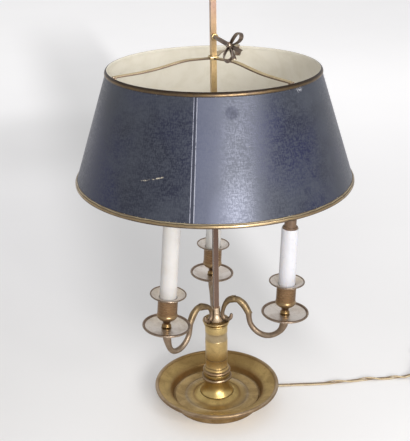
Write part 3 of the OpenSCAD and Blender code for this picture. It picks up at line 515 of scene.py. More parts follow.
@dataclass(frozen=True)
class Enamel:
    """Plain brushed enamel, slightly uneven, gone yellow in patches.

    Attributes:
        body: Colour of the clean enamel.
        aged: Colour of its aged patches, also laid in its hollows.
        rough: Roughness.
        glow: Share of light that scatters below the surface.
        patchy: Share of the aged patches.
    """

    body: Colour
    aged: Colour
    rough: float = 0.45
    glow: float = 0.0
    patchy: float = 0.2

    def make(self, name: str) -> Material:
        """Returns the finish as a material.

        Args:
            name: The material's name.
        """
        g = Graph(name)
        patches = g.span(g.noise(35, 4, 0.6, warp=0.4), 0.4, 0.7)
        colour = g.mix(patches, self.body, self.aged, self.patchy)
        # Laid darker in its hollows, by an occlusion test.
        colour = g.mix(g.hollows(0.006), colour, self.aged, 0.5)
        rough = g.uneven(200, self.rough - 0.08, self.rough + 0.08)
        return g.shade(Base_Color=colour, Roughness=rough, Normal=g.bump(g.noise(260, 3, 0.5), 0.000015),
                       Subsurface_Weight=self.glow, Subsurface_Radius=(0.004, 0.003, 0.002),
                       Subsurface_Scale=1.0)


@dataclass(frozen=True)
class Moulded:
    """Moulded plastic or phenolic resin with a fine texture and handling shine.

    Attributes:
        body: Colour.
        light: Colour of its rubbed places.
        rough: Roughness.
    """

    body: Colour
    light: Colour
    rough: float = 0.42

    def make(self, name: str) -> Material:
        """Returns the finish as a material.

        Args:
            name: The material's name.
        """
        g = Graph(name)
        swirl = g.span(g.noise(70, 4, 0.6, warp=2.0), 0.4, 0.65)
        colour = g.mix(swirl, self.body, self.light, 0.4)
        colour = g.mix(g.edges(0.0005), colour, self.light, 0.5)
        rough = g.uneven(300, self.rough - 0.1, self.rough + 0.08)
        return g.shade(Base_Color=colour, Roughness=rough, Normal=g.bump(g.noise(2200, 2), 0.00003))


@dataclass(frozen=True)
class BulbGlass:
    """Clear thin bulb glass with a faint smoky tint."""

    def make(self, name: str) -> Material:
        """Returns the finish as a material.

        Args:
            name: The material's name.
        """
        g = Graph(name)
        dust = g.span(g.noise(120, 4, 0.6), 0.4, 0.7, 0.02, 0.10)
        return g.shade(Base_Color=g.mix(g.noise(30), (0.95, 0.95, 0.93), (0.86, 0.86, 0.82)), Roughness=dust,
                       Transmission_Weight=1.0, IOR=1.45, Normal=g.bump(g.noise(60, 2), 0.00004))


@dataclass(frozen=True)
class FlexSkin:
    """Clear gold skin of a twin flex, with the copper showing through its two strands.

    Attributes:
        body: Colour of the strands.
        neck: Colour of the web between them.
        pale: Colour of the places where the skin has gone milky.
    """

    body: Colour = tint(186, 166, 130)
    neck: Colour = tint(120, 98, 70)
    pale: Colour = tint(206, 192, 164)

    def make(self, name: str) -> Material:
        """Returns the finish as a material.

        Args:
            name: The material's name.
        """
        g = Graph(name)
        strand = g.node("ShaderNodeAttribute", {}, attribute_name="strand").outputs["Fac"]
        colour = g.mix(g.span(strand, 0.15, 0.8), self.neck, self.body)
        milky = g.span(g.noise(60, 3, 0.6), 0.48, 0.66)
        colour = g.mix(milky, colour, self.pale, 0.5)
        dirt = g.span(g.noise(130, 4, 0.65), 0.5, 0.7)
        colour = g.mix(dirt, colour, tint(136, 112, 84), 0.35)
        return g.shade(Base_Color=colour, Roughness=g.uneven(400, 0.26, 0.42), Coat_Weight=0.4,
                       Coat_Roughness=0.2, Subsurface_Weight=0.25, Subsurface_Radius=(0.003, 0.002, 0.001),
                       Subsurface_Scale=1.0, Normal=g.bump(g.noise(700, 2), 0.00003))


@dataclass(frozen=True)
class Board:
    """Grey strawboard with short fibres."""

    def make(self, name: str) -> Material:
        """Returns the finish as a material.

        Args:
            name: The material's name.
        """
        g = Graph(name)
        fibre = g.noise(1400, 3, 0.7, g.mapped((1, 0.2, 1)))
        colour = g.mix(g.span(fibre, 0.35, 0.65), tint(142, 128, 106), tint(112, 98, 80))
        colour = g.mix(g.span(g.noise(25, 3), 0.45, 0.7, 0, 0.5), colour, tint(92, 80, 64))
        rough = g.span(fibre, 0.3, 0.7, 0.8, 0.95)
        return g.shade(Base_Color=colour, Roughness=rough, Normal=g.bump(fibre, 0.0001))


def bands(*rows: Row) -> Stops:
    """Returns the bands of a surface from rows of a place and the screen colour there."""
    return tuple((row[0], tint(*row[1:])) for row in rows)


def plain(red: int, green: int, blue: int) -> Stops:
    """Returns the bands of a surface that has one colour all over."""
    return bands((0.0, red, green, blue), (1.0, red, green, blue))


class Metal(Enum):
    """The lamp's brasses and its steel, each as old as its place has made it."""

    # The dish's brass carries painted shade on its far side and painted light on its front.
    BASE = AgedBrass(
        bands((0.0, 216, 190, 126), (0.034, 214, 188, 124), (0.0375, 168, 138, 92),
              (0.041, 200, 172, 116), (0.046, 192, 168, 124), (0.050, 182, 164, 136),
              (0.054, 194, 168, 120), (0.064, 204, 176, 124), (0.0675, 206, 182, 140),
              (0.0695, 130, 104, 72), (0.0715, 156, 126, 86), (0.075, 176, 146, 96),
              (0.080, 200, 172, 112), (0.092, 202, 172, 114), (0.0945, 184, 160, 130),
              (0.0975, 188, 166, 138), (0.099, 128, 106, 84)),
        tint(136, 110, 68), tint(232, 206, 146), tint(80, 60, 40), (0.42, 0.58), 38, painted_shading=0.8,
        marks=Marks.SPUN, along=Along.RADIUS, clouded=0.45)
    COLUMN = AgedBrass(
        bands((0.0170, 120, 92, 56), (0.0185, 222, 194, 126), (0.039, 206, 178, 118),
              (0.0412, 92, 68, 44), (0.0430, 186, 164, 138), (0.0470, 182, 160, 134),
              (0.0485, 96, 72, 46), (0.0500, 206, 178, 116), (0.0530, 200, 172, 112),
              (0.0545, 90, 66, 44), (0.0560, 180, 152, 120), (0.0590, 180, 152, 120),
              (0.0602, 110, 82, 52), (0.0615, 204, 174, 116), (0.0640, 190, 162, 110),
              (0.0650, 104, 80, 54), (0.0662, 196, 166, 110), (0.0790, 192, 162, 108),
              (0.0800, 104, 80, 56), (0.0812, 200, 172, 116), (0.1120, 204, 176, 120),
              (0.1145, 176, 158, 126), (0.1260, 180, 162, 130), (0.1290, 200, 174, 118),
              (0.1380, 198, 174, 120), (0.1387, 120, 96, 62), (0.1400, 196, 170, 116),
              (0.1470, 180, 156, 112), (0.1500, 158, 140, 114), (0.1700, 164, 146, 124)),
        tint(154, 130, 88), tint(226, 206, 164), tint(70, 52, 36), (0.32, 0.48), 70, marks=Marks.LATHE,
        clouded=0.4, corner=0.003)
    ROD = AgedBrass(
        bands((0.156, 122, 100, 86), (0.20, 118, 98, 88), (0.33, 84, 66, 58), (0.40, 150, 124, 96),
              (0.55, 208, 180, 132), (0.60, 184, 154, 120), (0.63, 170, 140, 124),
              (0.65, 190, 164, 120)),
        tint(112, 90, 78), tint(222, 198, 164), tint(70, 54, 46), (0.32, 0.5), 40, marks=Marks.DRAWN,
        clouded=0.35)
    ARM = AgedBrass(
        bands((0.120, 164, 148, 130), (0.160, 146, 126, 106), (0.172, 150, 130, 100),
              (0.200, 150, 130, 96)),
        tint(112, 94, 78), tint(204, 186, 152), tint(48, 38, 28), (0.46, 0.62), 110, pits=0.00006,
        clouded=0.5)
    ROOF = AgedBrass(plain(206, 186, 160), tint(176, 156, 132), tint(236, 222, 196), tint(96, 78, 60),
                     (0.46, 0.6), 90, clouded=0.4)
    PAN = AgedBrass(plain(246, 238, 230), tint(196, 180, 164), tint(244, 236, 226), tint(84, 68, 56),
                    (0.38, 0.5), 60, clouded=0.4, corner=0.005)
    RIM = AgedBrass(plain(146, 126, 110), tint(112, 96, 82), tint(216, 200, 180), tint(52, 40, 32),
                    (0.34, 0.5), 120, clouded=0.5)
    CUP = AgedBrass(
        bands((0.174, 150, 126, 92), (0.1765, 160, 134, 92), (0.181, 158, 130, 88),
              (0.1835, 104, 78, 58), (0.1885, 112, 86, 64), (0.1925, 146, 122, 90),
              (0.1985, 160, 134, 98), (0.2005, 136, 106, 76), (0.222, 134, 106, 80),
              (0.226, 160, 134, 100)),
        tint(108, 82, 62), tint(210, 182, 134), tint(50, 36, 28), (0.3, 0.46), 130, marks=Marks.LATHE,
        clouded=0.4)
    CARRIER = AgedBrass(plain(212, 184, 130), tint(176, 152, 114), tint(236, 218, 172), tint(70, 54, 40),
                        (0.28, 0.46), 60, clouded=0.4, corner=0.003)
    STRIP = AgedBrass(plain(206, 186, 142), tint(160, 140, 108), tint(236, 222, 180), tint(70, 54, 40),
                      (0.32, 0.5), 60, clouded=0.5, corner=0.003)
    SCREW = AgedBrass(plain(132, 116, 104), tint(96, 88, 86), tint(200, 182, 150), tint(44, 38, 40),
                      (0.28, 0.46), 90)
    # Lower binding: a painted highlight line just above its crease, painted shade in the crease, and darker
    # along its bottom edge.
    GILT_LOW = AgedBrass(
        bands((0.3835, 60, 48, 42), (0.3848, 104, 88, 74), (0.3858, 176, 154, 118),
              (0.3874, 168, 146, 110), (0.3882, 84, 68, 54), (0.3889, 222, 206, 170),
              (0.3897, 160, 140, 110)),
        tint(120, 104, 88), tint(222, 200, 156), tint(60, 46, 38), (0.3, 0.48), 45, clouded=0.5)
    GILT_TOP = AgedBrass(
        bands((0.5388, 60, 52, 50), (0.5402, 112, 94, 72), (0.5416, 132, 110, 78),
              (0.5430, 84, 68, 52), (0.5450, 46, 38, 34)),
        tint(84, 74, 68), tint(176, 156, 120), tint(44, 36, 32), (0.34, 0.5), 45, clouded=0.65)
    STEEL = AgedBrass(plain(150, 148, 144), tint(118, 114, 110), tint(190, 188, 182), tint(70, 60, 52),
                      (0.3, 0.5), 90)

    def made(self, name: str) -> Material:
        """Returns the metal's finish as a material."""
        return self.value.make(name)


# ---- modelling moves


def switch(mode: str) -> None:
    """Switches to edit mode or to object mode."""
    bpy.ops.object.mode_set(mode=mode)


def at_rest() -> None:
    """Leaves edit mode and deselects every object."""
    if bpy.context.object is not None and bpy.context.object.mode != "OBJECT":
        switch("OBJECT")
    bpy.ops.object.select_all(action="DESELECT")


def taken_up(piece: Piece) -> None:
    """Selects one piece alone and makes it the active one.

    Args:
        piece: The piece.
    """
    at_rest()
    piece.select_set(True)
    bpy.context.view_layer.objects.active = piece


def called(piece: Piece, name: str) -> Piece:
    """Names a piece and its mesh and returns it."""
    piece.name = piece.data.name = name
    return piece


def settled() -> None:
    """Puts the selected piece's place into its mesh."""
    bpy.ops.object.transform_apply(location=True, rotation=True, scale=True)


def spun(axis: str, degrees: float) -> Matrix:
    """Returns a turn about an axis."""
    return Matrix.Rotation(math.radians(degrees), 4, axis)


def shifted(x: float, y: float, z: float) -> Matrix:
    """Returns a move in millimetres."""
    return Matrix.Translation((x * MM, y * MM, z * MM))


def started(name: str) -> Piece:
    """Names the primitive that was just added, settles its place and opens it for editing.

    Args:
        name: The name of the piece.
    """
    piece = called(bpy.context.object, name)
    settled()
    switch("EDIT")
    bpy.ops.mesh.select_all(action="SELECT")
    return piece


def closed_up() -> None:
    """Turns the faces of the open piece outwards and leaves edit mode."""
    bpy.ops.mesh.select_all(action="SELECT")
    bpy.ops.mesh.normals_make_consistent(inside=False)
    switch("OBJECT")


def turned(name: str, outline: Sequence[Spot], sides: int = 96, closed: bool = False) -> Piece:
    """Draws a circle out ring by ring into a turned form about the Z axis.

    Args:
        name: The piece's name.
        outline: Radius and height of each ring in turn, in millimetres.
        sides: Points round a ring.
        closed: True where the outline ends where it began, and False for a solid with flat ends.

    Returns:
        The piece.
    """
    at_rest()
    radius, height = outline[0]
    fill = "NOTHING" if closed else "NGON"
    bpy.ops.mesh.primitive_circle_add(vertices=sides, radius=radius * MM,
                                      location=(0.0, 0.0, height * MM), fill_type=fill)
    piece = started(name)
    for wide, high in outline[1:]:
        rise = {"value": (0.0, 0.0, (high - height) * MM)}
        if closed:
            bpy.ops.mesh.extrude_edges_move(TRANSFORM_OT_translate=rise)
        else:
            bpy.ops.mesh.extrude_region_move(TRANSFORM_OT_translate=rise)
        share = wide / radius
        bpy.ops.transform.resize(value=(share, share, 1.0), center_override=(0.0, 0.0, high * MM))
        radius, height = wide, high
    if closed:
        bpy.ops.mesh.select_all(action="SELECT")
        bpy.ops.mesh.remove_doubles(threshold=1e-6)
    closed_up()
    return piece


class Section(Enum):
    """The section that a drawn form starts from."""

    ROUND = "round"
    BAR = "bar"


def drawn(name: str, line: Sequence[Row], section: Section, sides: int) -> Piece:
    """Draws a section out ring by ring along a line in the XZ plane, turning it as it goes.

    Args:
        name: The piece's name.
        line: Rows of X, Z, thickness in the plane and width across it, in millimetres.
        section: Round, or a bar with flat faces.
        sides: Points round a round section, or lanes across a bar.

    Returns:
        The piece.
    """
    at_rest()
    count = len(line)
    x, z, tall, wide = line[0]
    start = {"location": (x * MM, 0.0, z * MM), "rotation": (0.0, math.pi / 2, 0.0)}
    if section is Section.ROUND:
        bpy.ops.mesh.primitive_circle_add(vertices=sides, radius=MM / 2, fill_type="NGON", **start)
    else:
        bpy.ops.mesh.primitive_grid_add(x_subdivisions=1, y_subdivisions=sides, size=MM, **start)
    piece = started(name)
    bpy.ops.transform.resize(value=(1.0, wide, tall), center_override=(x * MM, 0.0, z * MM))
    heading = 0.0
    for i, (x2, z2, tall2, wide2) in enumerate(line):
        back, ahead = line[max(i - 1, 0)], line[min(i + 1, count - 1)]
        pointed = math.atan2(ahead[1] - back[1], ahead[0] - back[0])
        turn = math.remainder(pointed - heading, math.tau)
        centre = (x2 * MM, 0.0, z2 * MM)
        if i:
            bpy.ops.mesh.extrude_region_move(
                TRANSFORM_OT_translate={"value": ((x2 - x) * MM, 0.0, (z2 - z) * MM)})
        bpy.ops.transform.rotate(value=turn, orient_axis="Y", center_override=centre)
        bpy.ops.transform.resize(value=(tall2 / tall, wide2 / wide, tall2 / tall), center_override=centre)
        heading, x, z, tall, wide = pointed, x2, z2, tall2, wide2
    closed_up()
    return piece


def block(name: str, low: Point, high: Point) -> Piece:
    """Adds a block between two corners, in millimetres, as the start of a shaped piece.

    Args:
        name: Its name.
        low: Its lower corner.
        high: Its upper corner.
    """
    at_rest()
    middle = tuple((a + b) / 2 * MM for a, b in zip(low, high))
    bpy.ops.mesh.primitive_cube_add(size=1.0, location=middle,
                                    scale=tuple((b - a) * MM for a, b in zip(low, high)))
    piece = started(name)
    switch("OBJECT")
    return piece


def cleared(piece: Piece, kind: str) -> None:
    """Takes a piece up with nothing selected on it and picks by a kind of element.

    Args:
        piece: The piece.
        kind: The kind: FACE or EDGE.
    """
    taken_up(piece)
    switch("EDIT")
    bpy.ops.mesh.select_mode(type=kind)
    bpy.ops.mesh.select_all(action="DESELECT")
    switch("OBJECT")


def picked(piece: Piece, wanted: Rule) -> None:
    """Selects a piece's faces by their middle and normal and opens it for editing.

    Args:
        piece: The piece.
        wanted: Tells from a face's middle and normal whether it is selected.
    """
    cleared(piece, "FACE")
    for face in piece.data.polygons:
        face.select = bool(wanted(face.center, face.normal))
    switch("EDIT")


def parted(piece: Piece, second: Rule) -> Piece:
    """Gives the faces that a rule finds the second finish, the others the first, and returns the piece.

    Args:
        piece: The piece.
        second: Tells from a face's middle and normal whether it takes the second finish.
    """
    for face in piece.data.polygons:
        face.material_index = int(second(face.center, face.normal))
    return piece


def outward(at: Vector, way: Vector) -> float:
    """Returns how much a face looks away from the axis: 1 straight out, -1 straight in."""
    return Vector((at.x, at.y, 0.0)).normalized().dot(way)


def crisp(piece: Piece, width: float = 0.3, degrees: float = 32.0, steps: int = 2) -> Piece:
    """Breaks a piece's sharp edges, shades the rest smooth and returns it.

    Args:
        piece: The piece.
        width: Width of the broken edges in millimetres; 0 leaves them sharp.
        degrees: Edges bent further than this count as sharp.
        steps: Faces across a broken edge.
    """
    taken_up(piece)
    if width:
        bpy.ops.object.modifier_add(type="BEVEL")
        edge = piece.modifiers[-1]
        edge.width, edge.segments = width * MM, steps
        edge.limit_method, edge.angle_limit = "ANGLE", math.radians(degrees)
        bpy.ops.object.modifier_apply(modifier=edge.name)
    bpy.ops.object.shade_smooth_by_angle(angle=math.radians(degrees))
    at_rest()
    return piece


def joined(name: str, parts: Sequence[Piece]) -> Piece:
    """Joins several forms into one piece.

    Args:
        name: The name of the piece.
        parts: The forms.
    """
    taken_up(parts[0])
    for part in parts[1:]:
        part.select_set(True)
    bpy.ops.object.join()
    at_rest()
    return called(parts[0], name)


def set_down(piece: Piece, place: Matrix) -> Piece:
    """Moves a piece to its place, settles the place in its mesh and returns it.

    Args:
        piece: The piece.
        place: Its place.
    """
    taken_up(piece)
    piece.matrix_world = place
    settled()
    at_rest()
    return piece


def copied(piece: Piece, name: str) -> Piece:
    """Returns a copy of a piece with a mesh of its own.

    Args:
        piece: The piece.
        name: The name of the copy.
    """
    copy = piece.copy()
    copy.data = piece.data.copy()
    bpy.context.collection.objects.link(copy)
    return called(copy, name)


def thrown_away(*pieces: Piece) -> None:
    """Removes patterns and cutters that have done their work."""
    for piece in pieces:
        bpy.data.objects.remove(piece, do_unlink=True)


def cut_by(piece: Piece, cutter: Piece) -> Piece:
    """Cuts one form out of a piece, throws the cutter away and returns the piece.

    Args:
        piece: The piece.
        cutter: The form.
    """
    taken_up(piece)
    bpy.ops.object.modifier_add(type="BOOLEAN")
    cut = piece.modifiers[-1]
    cut.operation, cut.object, cut.solver = "DIFFERENCE", cutter, "EXACT"
    bpy.ops.object.modifier_apply(modifier=cut.name)
    thrown_away(cutter)
    at_rest()
    return piece


def fitted(piece: Piece, body: str, slot: str, nodes: str, *finishes: Material) -> Piece:
    """Makes a piece ride on its body in the place of its solids, and dresses it.

    Args:
        piece: The piece, in place.
        body: The body that it moves with.
        slot: The name of its finish's slot; not used.
        nodes: The solids that it stands for, with spaces between.
        *finishes: Its materials, in the order of its faces' indices.

    Returns:
        The piece.
    """
    for finish in finishes:
        piece.data.materials.append(finish)
    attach(piece, body)
    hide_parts(*nodes.split())
    LOG.info("%s: %d faces", piece.name, len(piece.data.polygons))
    return piece


def dress(material: Material, *nodes: str) -> None:
    """Gives solids their finish.

    Args:
        material: The finish.
        *nodes: The solids.
    """
    for node in nodes:
        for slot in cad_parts[node].material_slots:
            slot.material = material


# ---- studio


@dataclass
class Studio:
    """The camera, the pale floor and the soft lights.

    Attributes:
        distance: The camera's distance in front of the rod.
        height: Its height.
        pitch: How far it looks down, in radians.
        yaw: How far it looks to the side.
        roll: How far it leans.
        lens: Its focal length.
        floor_tint: Colour of the floor.
        shadow: Colour of the soft shadows painted onto it behind the lamp and at its left.
        glow: The floor's own brightness near the lamp and far away.
    """

    distance: float = 1.20769262
    height: float = 0.80826069
    pitch: float = 0.38888
    yaw: float = -0.01244
    roll: float = -0.01543
    lens: float = 71.56
    floor_tint: Colour = (0.82, 0.812, 0.812)
    shadow: Colour = (0.34, 0.34, 0.335)
    glow: Spot = (0.10, 0.43)

    def build(self) -> None:
        """Sets up everything that isn't the lamp."""
        bpy.context.scene.view_settings.view_transform = "Standard"
        self.camera()
        self.floor()
        self.lights()

    def camera(self) -> None:
        """Stands the camera where it looks a little down on the lamp."""
        data = bpy.data.cameras.new("camera")
        data.lens = self.lens
        data.sensor_width = 36.0
        data.clip_end = 50.0
        level = math.cos(self.pitch)
        ahead = Vector((math.sin(self.yaw) * level, math.cos(self.yaw) * level, -math.sin(self.pitch)))
        right = Vector((math.cos(self.yaw), -math.sin(self.yaw), 0.0))
        up = right.cross(ahead)
        side = math.cos(self.roll) * right + math.sin(self.roll) * up
        top = -math.sin(self.roll) * right + math.cos(self.roll) * up
        turn = Matrix((side, top, -ahead)).transposed()
        camera = bpy.data.objects.new("camera", data)
        camera.matrix_world = Matrix.Translation((0.0, -self.distance, self.height)) @ turn.to_4x4()
        bpy.context.collection.objects.link(camera)
        bpy.context.scene.camera = camera

    def floor(self) -> None:
        """Lays one wide pale floor that fills the view, with painted shadows and a painted brighter stretch
        at the right.
        """
        at_rest()
        bpy.ops.mesh.primitive_plane_add(size=24.0, location=(0.0, 6.0, 0.0))
        floor = called(bpy.context.object, "floor")
        settled()
        g = Graph("floor")
        across, away, _ = g.parts()
        colour = g.mix(g.span(g.noise(3, 2), 0.3, 0.7, 0.0, 0.04), self.floor_tint, (0.6, 0.6, 0.6))
        # Painted shadows: a broad one behind the lamp where its shade's shadow falls, one further back at the
        # left and one near the front at the left.
        slanted = g.plus(across, g.times(away, 0.25))
        shadow_behind = g.times(g.span(slanted, -0.24, 0.0, 0.0, 0.44), g.span(slanted, 0.27, 0.17),
                         g.span(away, 0.05, 0.3), g.span(away, 2.0, 4.0, 1.0, 0.0))
        far = g.span(g.from_spot((-0.52, 1.45, 0.0)), 0.1, 0.5, 0.24, 0.0)
        near = g.span(g.from_spot((-0.75, -0.1, 0.0)), 0.2, 0.7, 0.26, 0.0)
        for share, shadow in ((shadow_behind, self.shadow), (far, self.shadow), (near, (0.4, 0.39, 0.37))):
            colour = g.mix(share, colour, shadow)
        path = g.node("ShaderNodeLightPath", {}).outputs
        seen = g.most(path["Is Camera Ray"], path["Is Glossy Ray"], path["Is Transmission Ray"])
        # Painted light: the floor is laid brighter to the right.
        right = g.times(g.span(across, 0.1, 0.5, 0.0, 0.07), g.span(away, 0.1, 0.7),
                        g.span(away, 1.6, 3.6, 1.0, -0.4))
        glow = g.plus(g.span(away, 0.2, 2.4, *self.glow), right)
        g.shade(Base_Color=colour, Roughness=0.9, Emission_Color=colour,
                Emission_Strength=g.times(seen, glow), Specular_IOR_Level=0.1)
        floor.data.materials.append(g.material)

    def lights(self) -> None:
        """Hangs a soft key and a fill at the front right and a wide light over the background."""
        world = bpy.data.worlds.new("studio")
        world.use_nodes = True
        back = world.node_tree.nodes["Background"]
        back.inputs[0].default_value = (0.985, 0.985, 1.0, 1.0)
        back.inputs[1].default_value = 0.6
        bpy.context.scene.world = world
        self.lamp("key", (0.62, -1.95, 0.85), (0.0, 0.0, 0.42), (0.75, 0.5), 30, (1.0, 0.985, 0.96))
        self.lamp("fill", (1.35, -1.75, 1.4), (0.0, 0.0, 0.4), (0.8, 0.7), 15, (1.0, 0.99, 0.97))
        self.lamp("top", (0.1, 1.2, 3.2), (0.0, 1.0, 0.0), (3.0, 3.0), 14, (1.0, 1.0, 1.0))

    def lamp(self, name: str, at: Point, aim: Point, size: Spot, power: float, colour: Colour) -> None:
        """Hangs one area light.

        Args:
            name: Its name.
            at: Where it hangs.
            aim: The point it faces.
            size: Its width and height.
            power: Its power in watts.
            colour: Its colour.
        """
        data = bpy.data.lights.new(name, "AREA")
        data.shape = "RECTANGLE"
        data.size, data.size_y = size
        data.energy = power
        data.color = colour
        light = bpy.data.objects.new(name, data)
        aimed = (Vector(aim) - Vector(at)).to_track_quat("-Z", "Y")
        light.matrix_world = Matrix.Translation(at) @ aimed.to_matrix().to_4x4()
        bpy.context.collection.objects.link(light)


# ---- flex


@dataclass
class TwinFlex:
    """The flat twin flex: out of the foot, through the switch, round the coil, into the plug.

    Attributes:
        width: Across both strands.
        thick: Across one strand.
        step: Length between two rings.
        lead: Route from the bushing to the switch, in millimetres.
        link: Route from the switch to the coil.
        tail: Route from the coil to the plug.
        coil_centre: Middle of the coil, in millimetres.
        coil_knots: Turns from its start, radius and height of the coil's line.
        twists: Stretches of X over which the flex turns over once.
    """

    width: float = 6.0 * MM
    thick: float = 3.0 * MM
    step: float = 3.0 * MM
    lead: tuple[Point, ...] = (
        (61.1, 22.2, 4.6), (68, 24.8, 4.6), (76, 27.7, 4.6), (88, 31.4, 4), (103, 35, 3.3), (122, 37.2, 3.1),
        (142, 38.2, 3.1), (162, 39, 3.1), (178, 40.2, 3.1), (193, 42, 3.1), (208, 44.4, 3.1), (223, 47, 3.1),
        (238, 49.6, 3.1), (253, 51.6, 3.1), (268, 53, 3.1), (284, 54.4, 3.1), (302, 56, 3.1), (316, 57, 3.8),
        (325, 57.5, 5.8), (330, 57.6, 6.8), (333, 57.6, 7), (336, 57.6, 7))
    link: tuple[Point, ...] = (
        (394, 57.6, 7), (396, 57.6, 7), (400, 57.6, 6.6), (407, 57.6, 5), (413, 57.6, 4.3), (416, 57.6, 4.2))
    tail: tuple[Point, ...] = (
        (416, 123.6, 4.2), (413, 123.6, 4.3), (408, 123.8, 5.2), (403, 124, 6.6), (400, 124, 7),
        (398, 124, 7))
    coil_centre: Spot = (440.0, 90.6)
    coil_knots: tuple[Point, ...] = (
        (0, 33, 3.4), (0.1, 33.6, 2.7), (1, 39, 2.7), (1.2, 39, 5.8), (3.2, 27, 5.8), (3.4, 27, 8.9),
        (5.4, 39, 8.9), (5.6, 39, 11.4), (6.4, 34, 11.4), (6.5, 33, 10.8))
    twists: tuple[Spot, ...] = ((0.180, 0.222), (0.236, 0.274), (0.286, 0.314))

    def coil(self) -> list[Vector]:
        """Returns the coil's points: out, up, in, up, out, up and in again."""
        points, steps = [], 24
        for k in range(1, round(self.coil_knots[-1][0] * steps)):
            turn = k / steps
            for a, b in zip(self.coil_knots, self.coil_knots[1:]):
                if a[0] <= turn <= b[0]:
                    share = (turn - a[0]) / (b[0] - a[0])
                    radius, height = a[1] + (b[1] - a[1]) * share, a[2] + (b[2] - a[2]) * share
            angle = math.tau * turn - math.pi / 2
            points.append(Vector((self.coil_centre[0] + radius * math.cos(angle),
                                  self.coil_centre[1] + radius * math.sin(angle), height)) * MM)
        return points

    def route(self) -> list[Vector]:
        """Returns the whole route, evenly stepped along a smooth curve."""
        knots = [Vector(p) * MM for p in (*self.lead, *self.link)]
        knots += [*self.coil(), *(Vector(p) * MM for p in self.tail)]
        dense = [Vector(p) for p in spline([tuple(k) for k in knots], 8)]
        even, gone = [dense[0]], 0.0
        for a, b in zip(dense, dense[1:]):
            gone += (b - a).length
            if gone >= self.step:
                even.append(b)
                gone = 0.0
        if (even[-1] - dense[-1]).length > 0.4 * self.step:
            even.append(dense[-1])
        return even

    def turn_at(self, point: Vector) -> float:
        """Returns how far the flex is turned about its own line: flat, on edge and flat again.

        Args:
            point: A point of the route.
        """
        return math.pi * sum(held((point.x - low) / (high - low)) for low, high in self.twists)

    def section(self) -> list[Point]:
        """Returns the outline of the two strands: across, up and how far out on a strand."""
        half, r = (self.width - self.thick) / 2, self.thick / 2
        outline = []
        for side in (1, -1):
            for k in range(9):
                a = math.radians(-132 + 264 * k / 8)
                outline.append((side * (half + r * math.cos(a)), side * r * math.sin(a),
                                max(0.0, math.cos(a * 0.8))))
        return outline

    def build(self, bushing: Point, riders: Iterable[Piece]) -> None:
        """Sweeps the section along the route.

        Args:
            bushing: Where the flex leaves the foot; not used.
            riders: The switch, the plug and the tie that lie on it; not used.
        """
        path = self.route()
        outline = self.section()
        mesh = bmesh.new()
        strand = mesh.verts.layers.float.new("strand")
        rings, lowered = [], []
        for i, p in enumerate(path):
            ahead = (path[min(i + 1, len(path) - 1)] - path[max(i - 1, 0)]).normalized()
            turn = self.turn_at(p)
            across = Vector((0, 0, 1)).cross(ahead).normalized()
            up = ahead.cross(across)
            free = held((p.x - 0.085) / 0.03) * held((0.325 - p.x) / 0.02)
            drop = free * (self.width - self.thick) / 2 * (1 - abs(math.sin(turn)))
            centre = p - Vector((0, 0, drop))
            lowered.append(centre)
            ring = []
            for x, y, out in outline:
                sx = x * math.cos(turn) - y * math.sin(turn)
                sy = x * math.sin(turn) + y * math.cos(turn)
                vertex = mesh.verts.new(centre + across * sx + up * sy)
                vertex[strand] = out
                ring.append(vertex)
            rings.append(ring)
        count = len(outline)
        for a, b in zip(rings, rings[1:]):
            for k in range(count):
                mesh.faces.new((a[k], a[(k + 1) % count], b[(k + 1) % count], b[k]))
        mesh.faces.new(rings[0])
        mesh.faces.new(list(reversed(rings[-1])))
        bmesh.ops.recalc_face_normals(mesh, faces=mesh.faces)
        data = bpy.data.meshes.new("twin_flex")
        mesh.to_mesh(data)
        mesh.free()
        flex = bpy.data.objects.new("twin_flex", data)
        bpy.context.collection.objects.link(flex)
        crisp(flex, 0.0, 60)
        fitted(flex, "lamp", "cord_skin", "cord_lead cord_link cord_coil cord_tail",
               FlexSkin().make("flex_skin"))


# ---- base


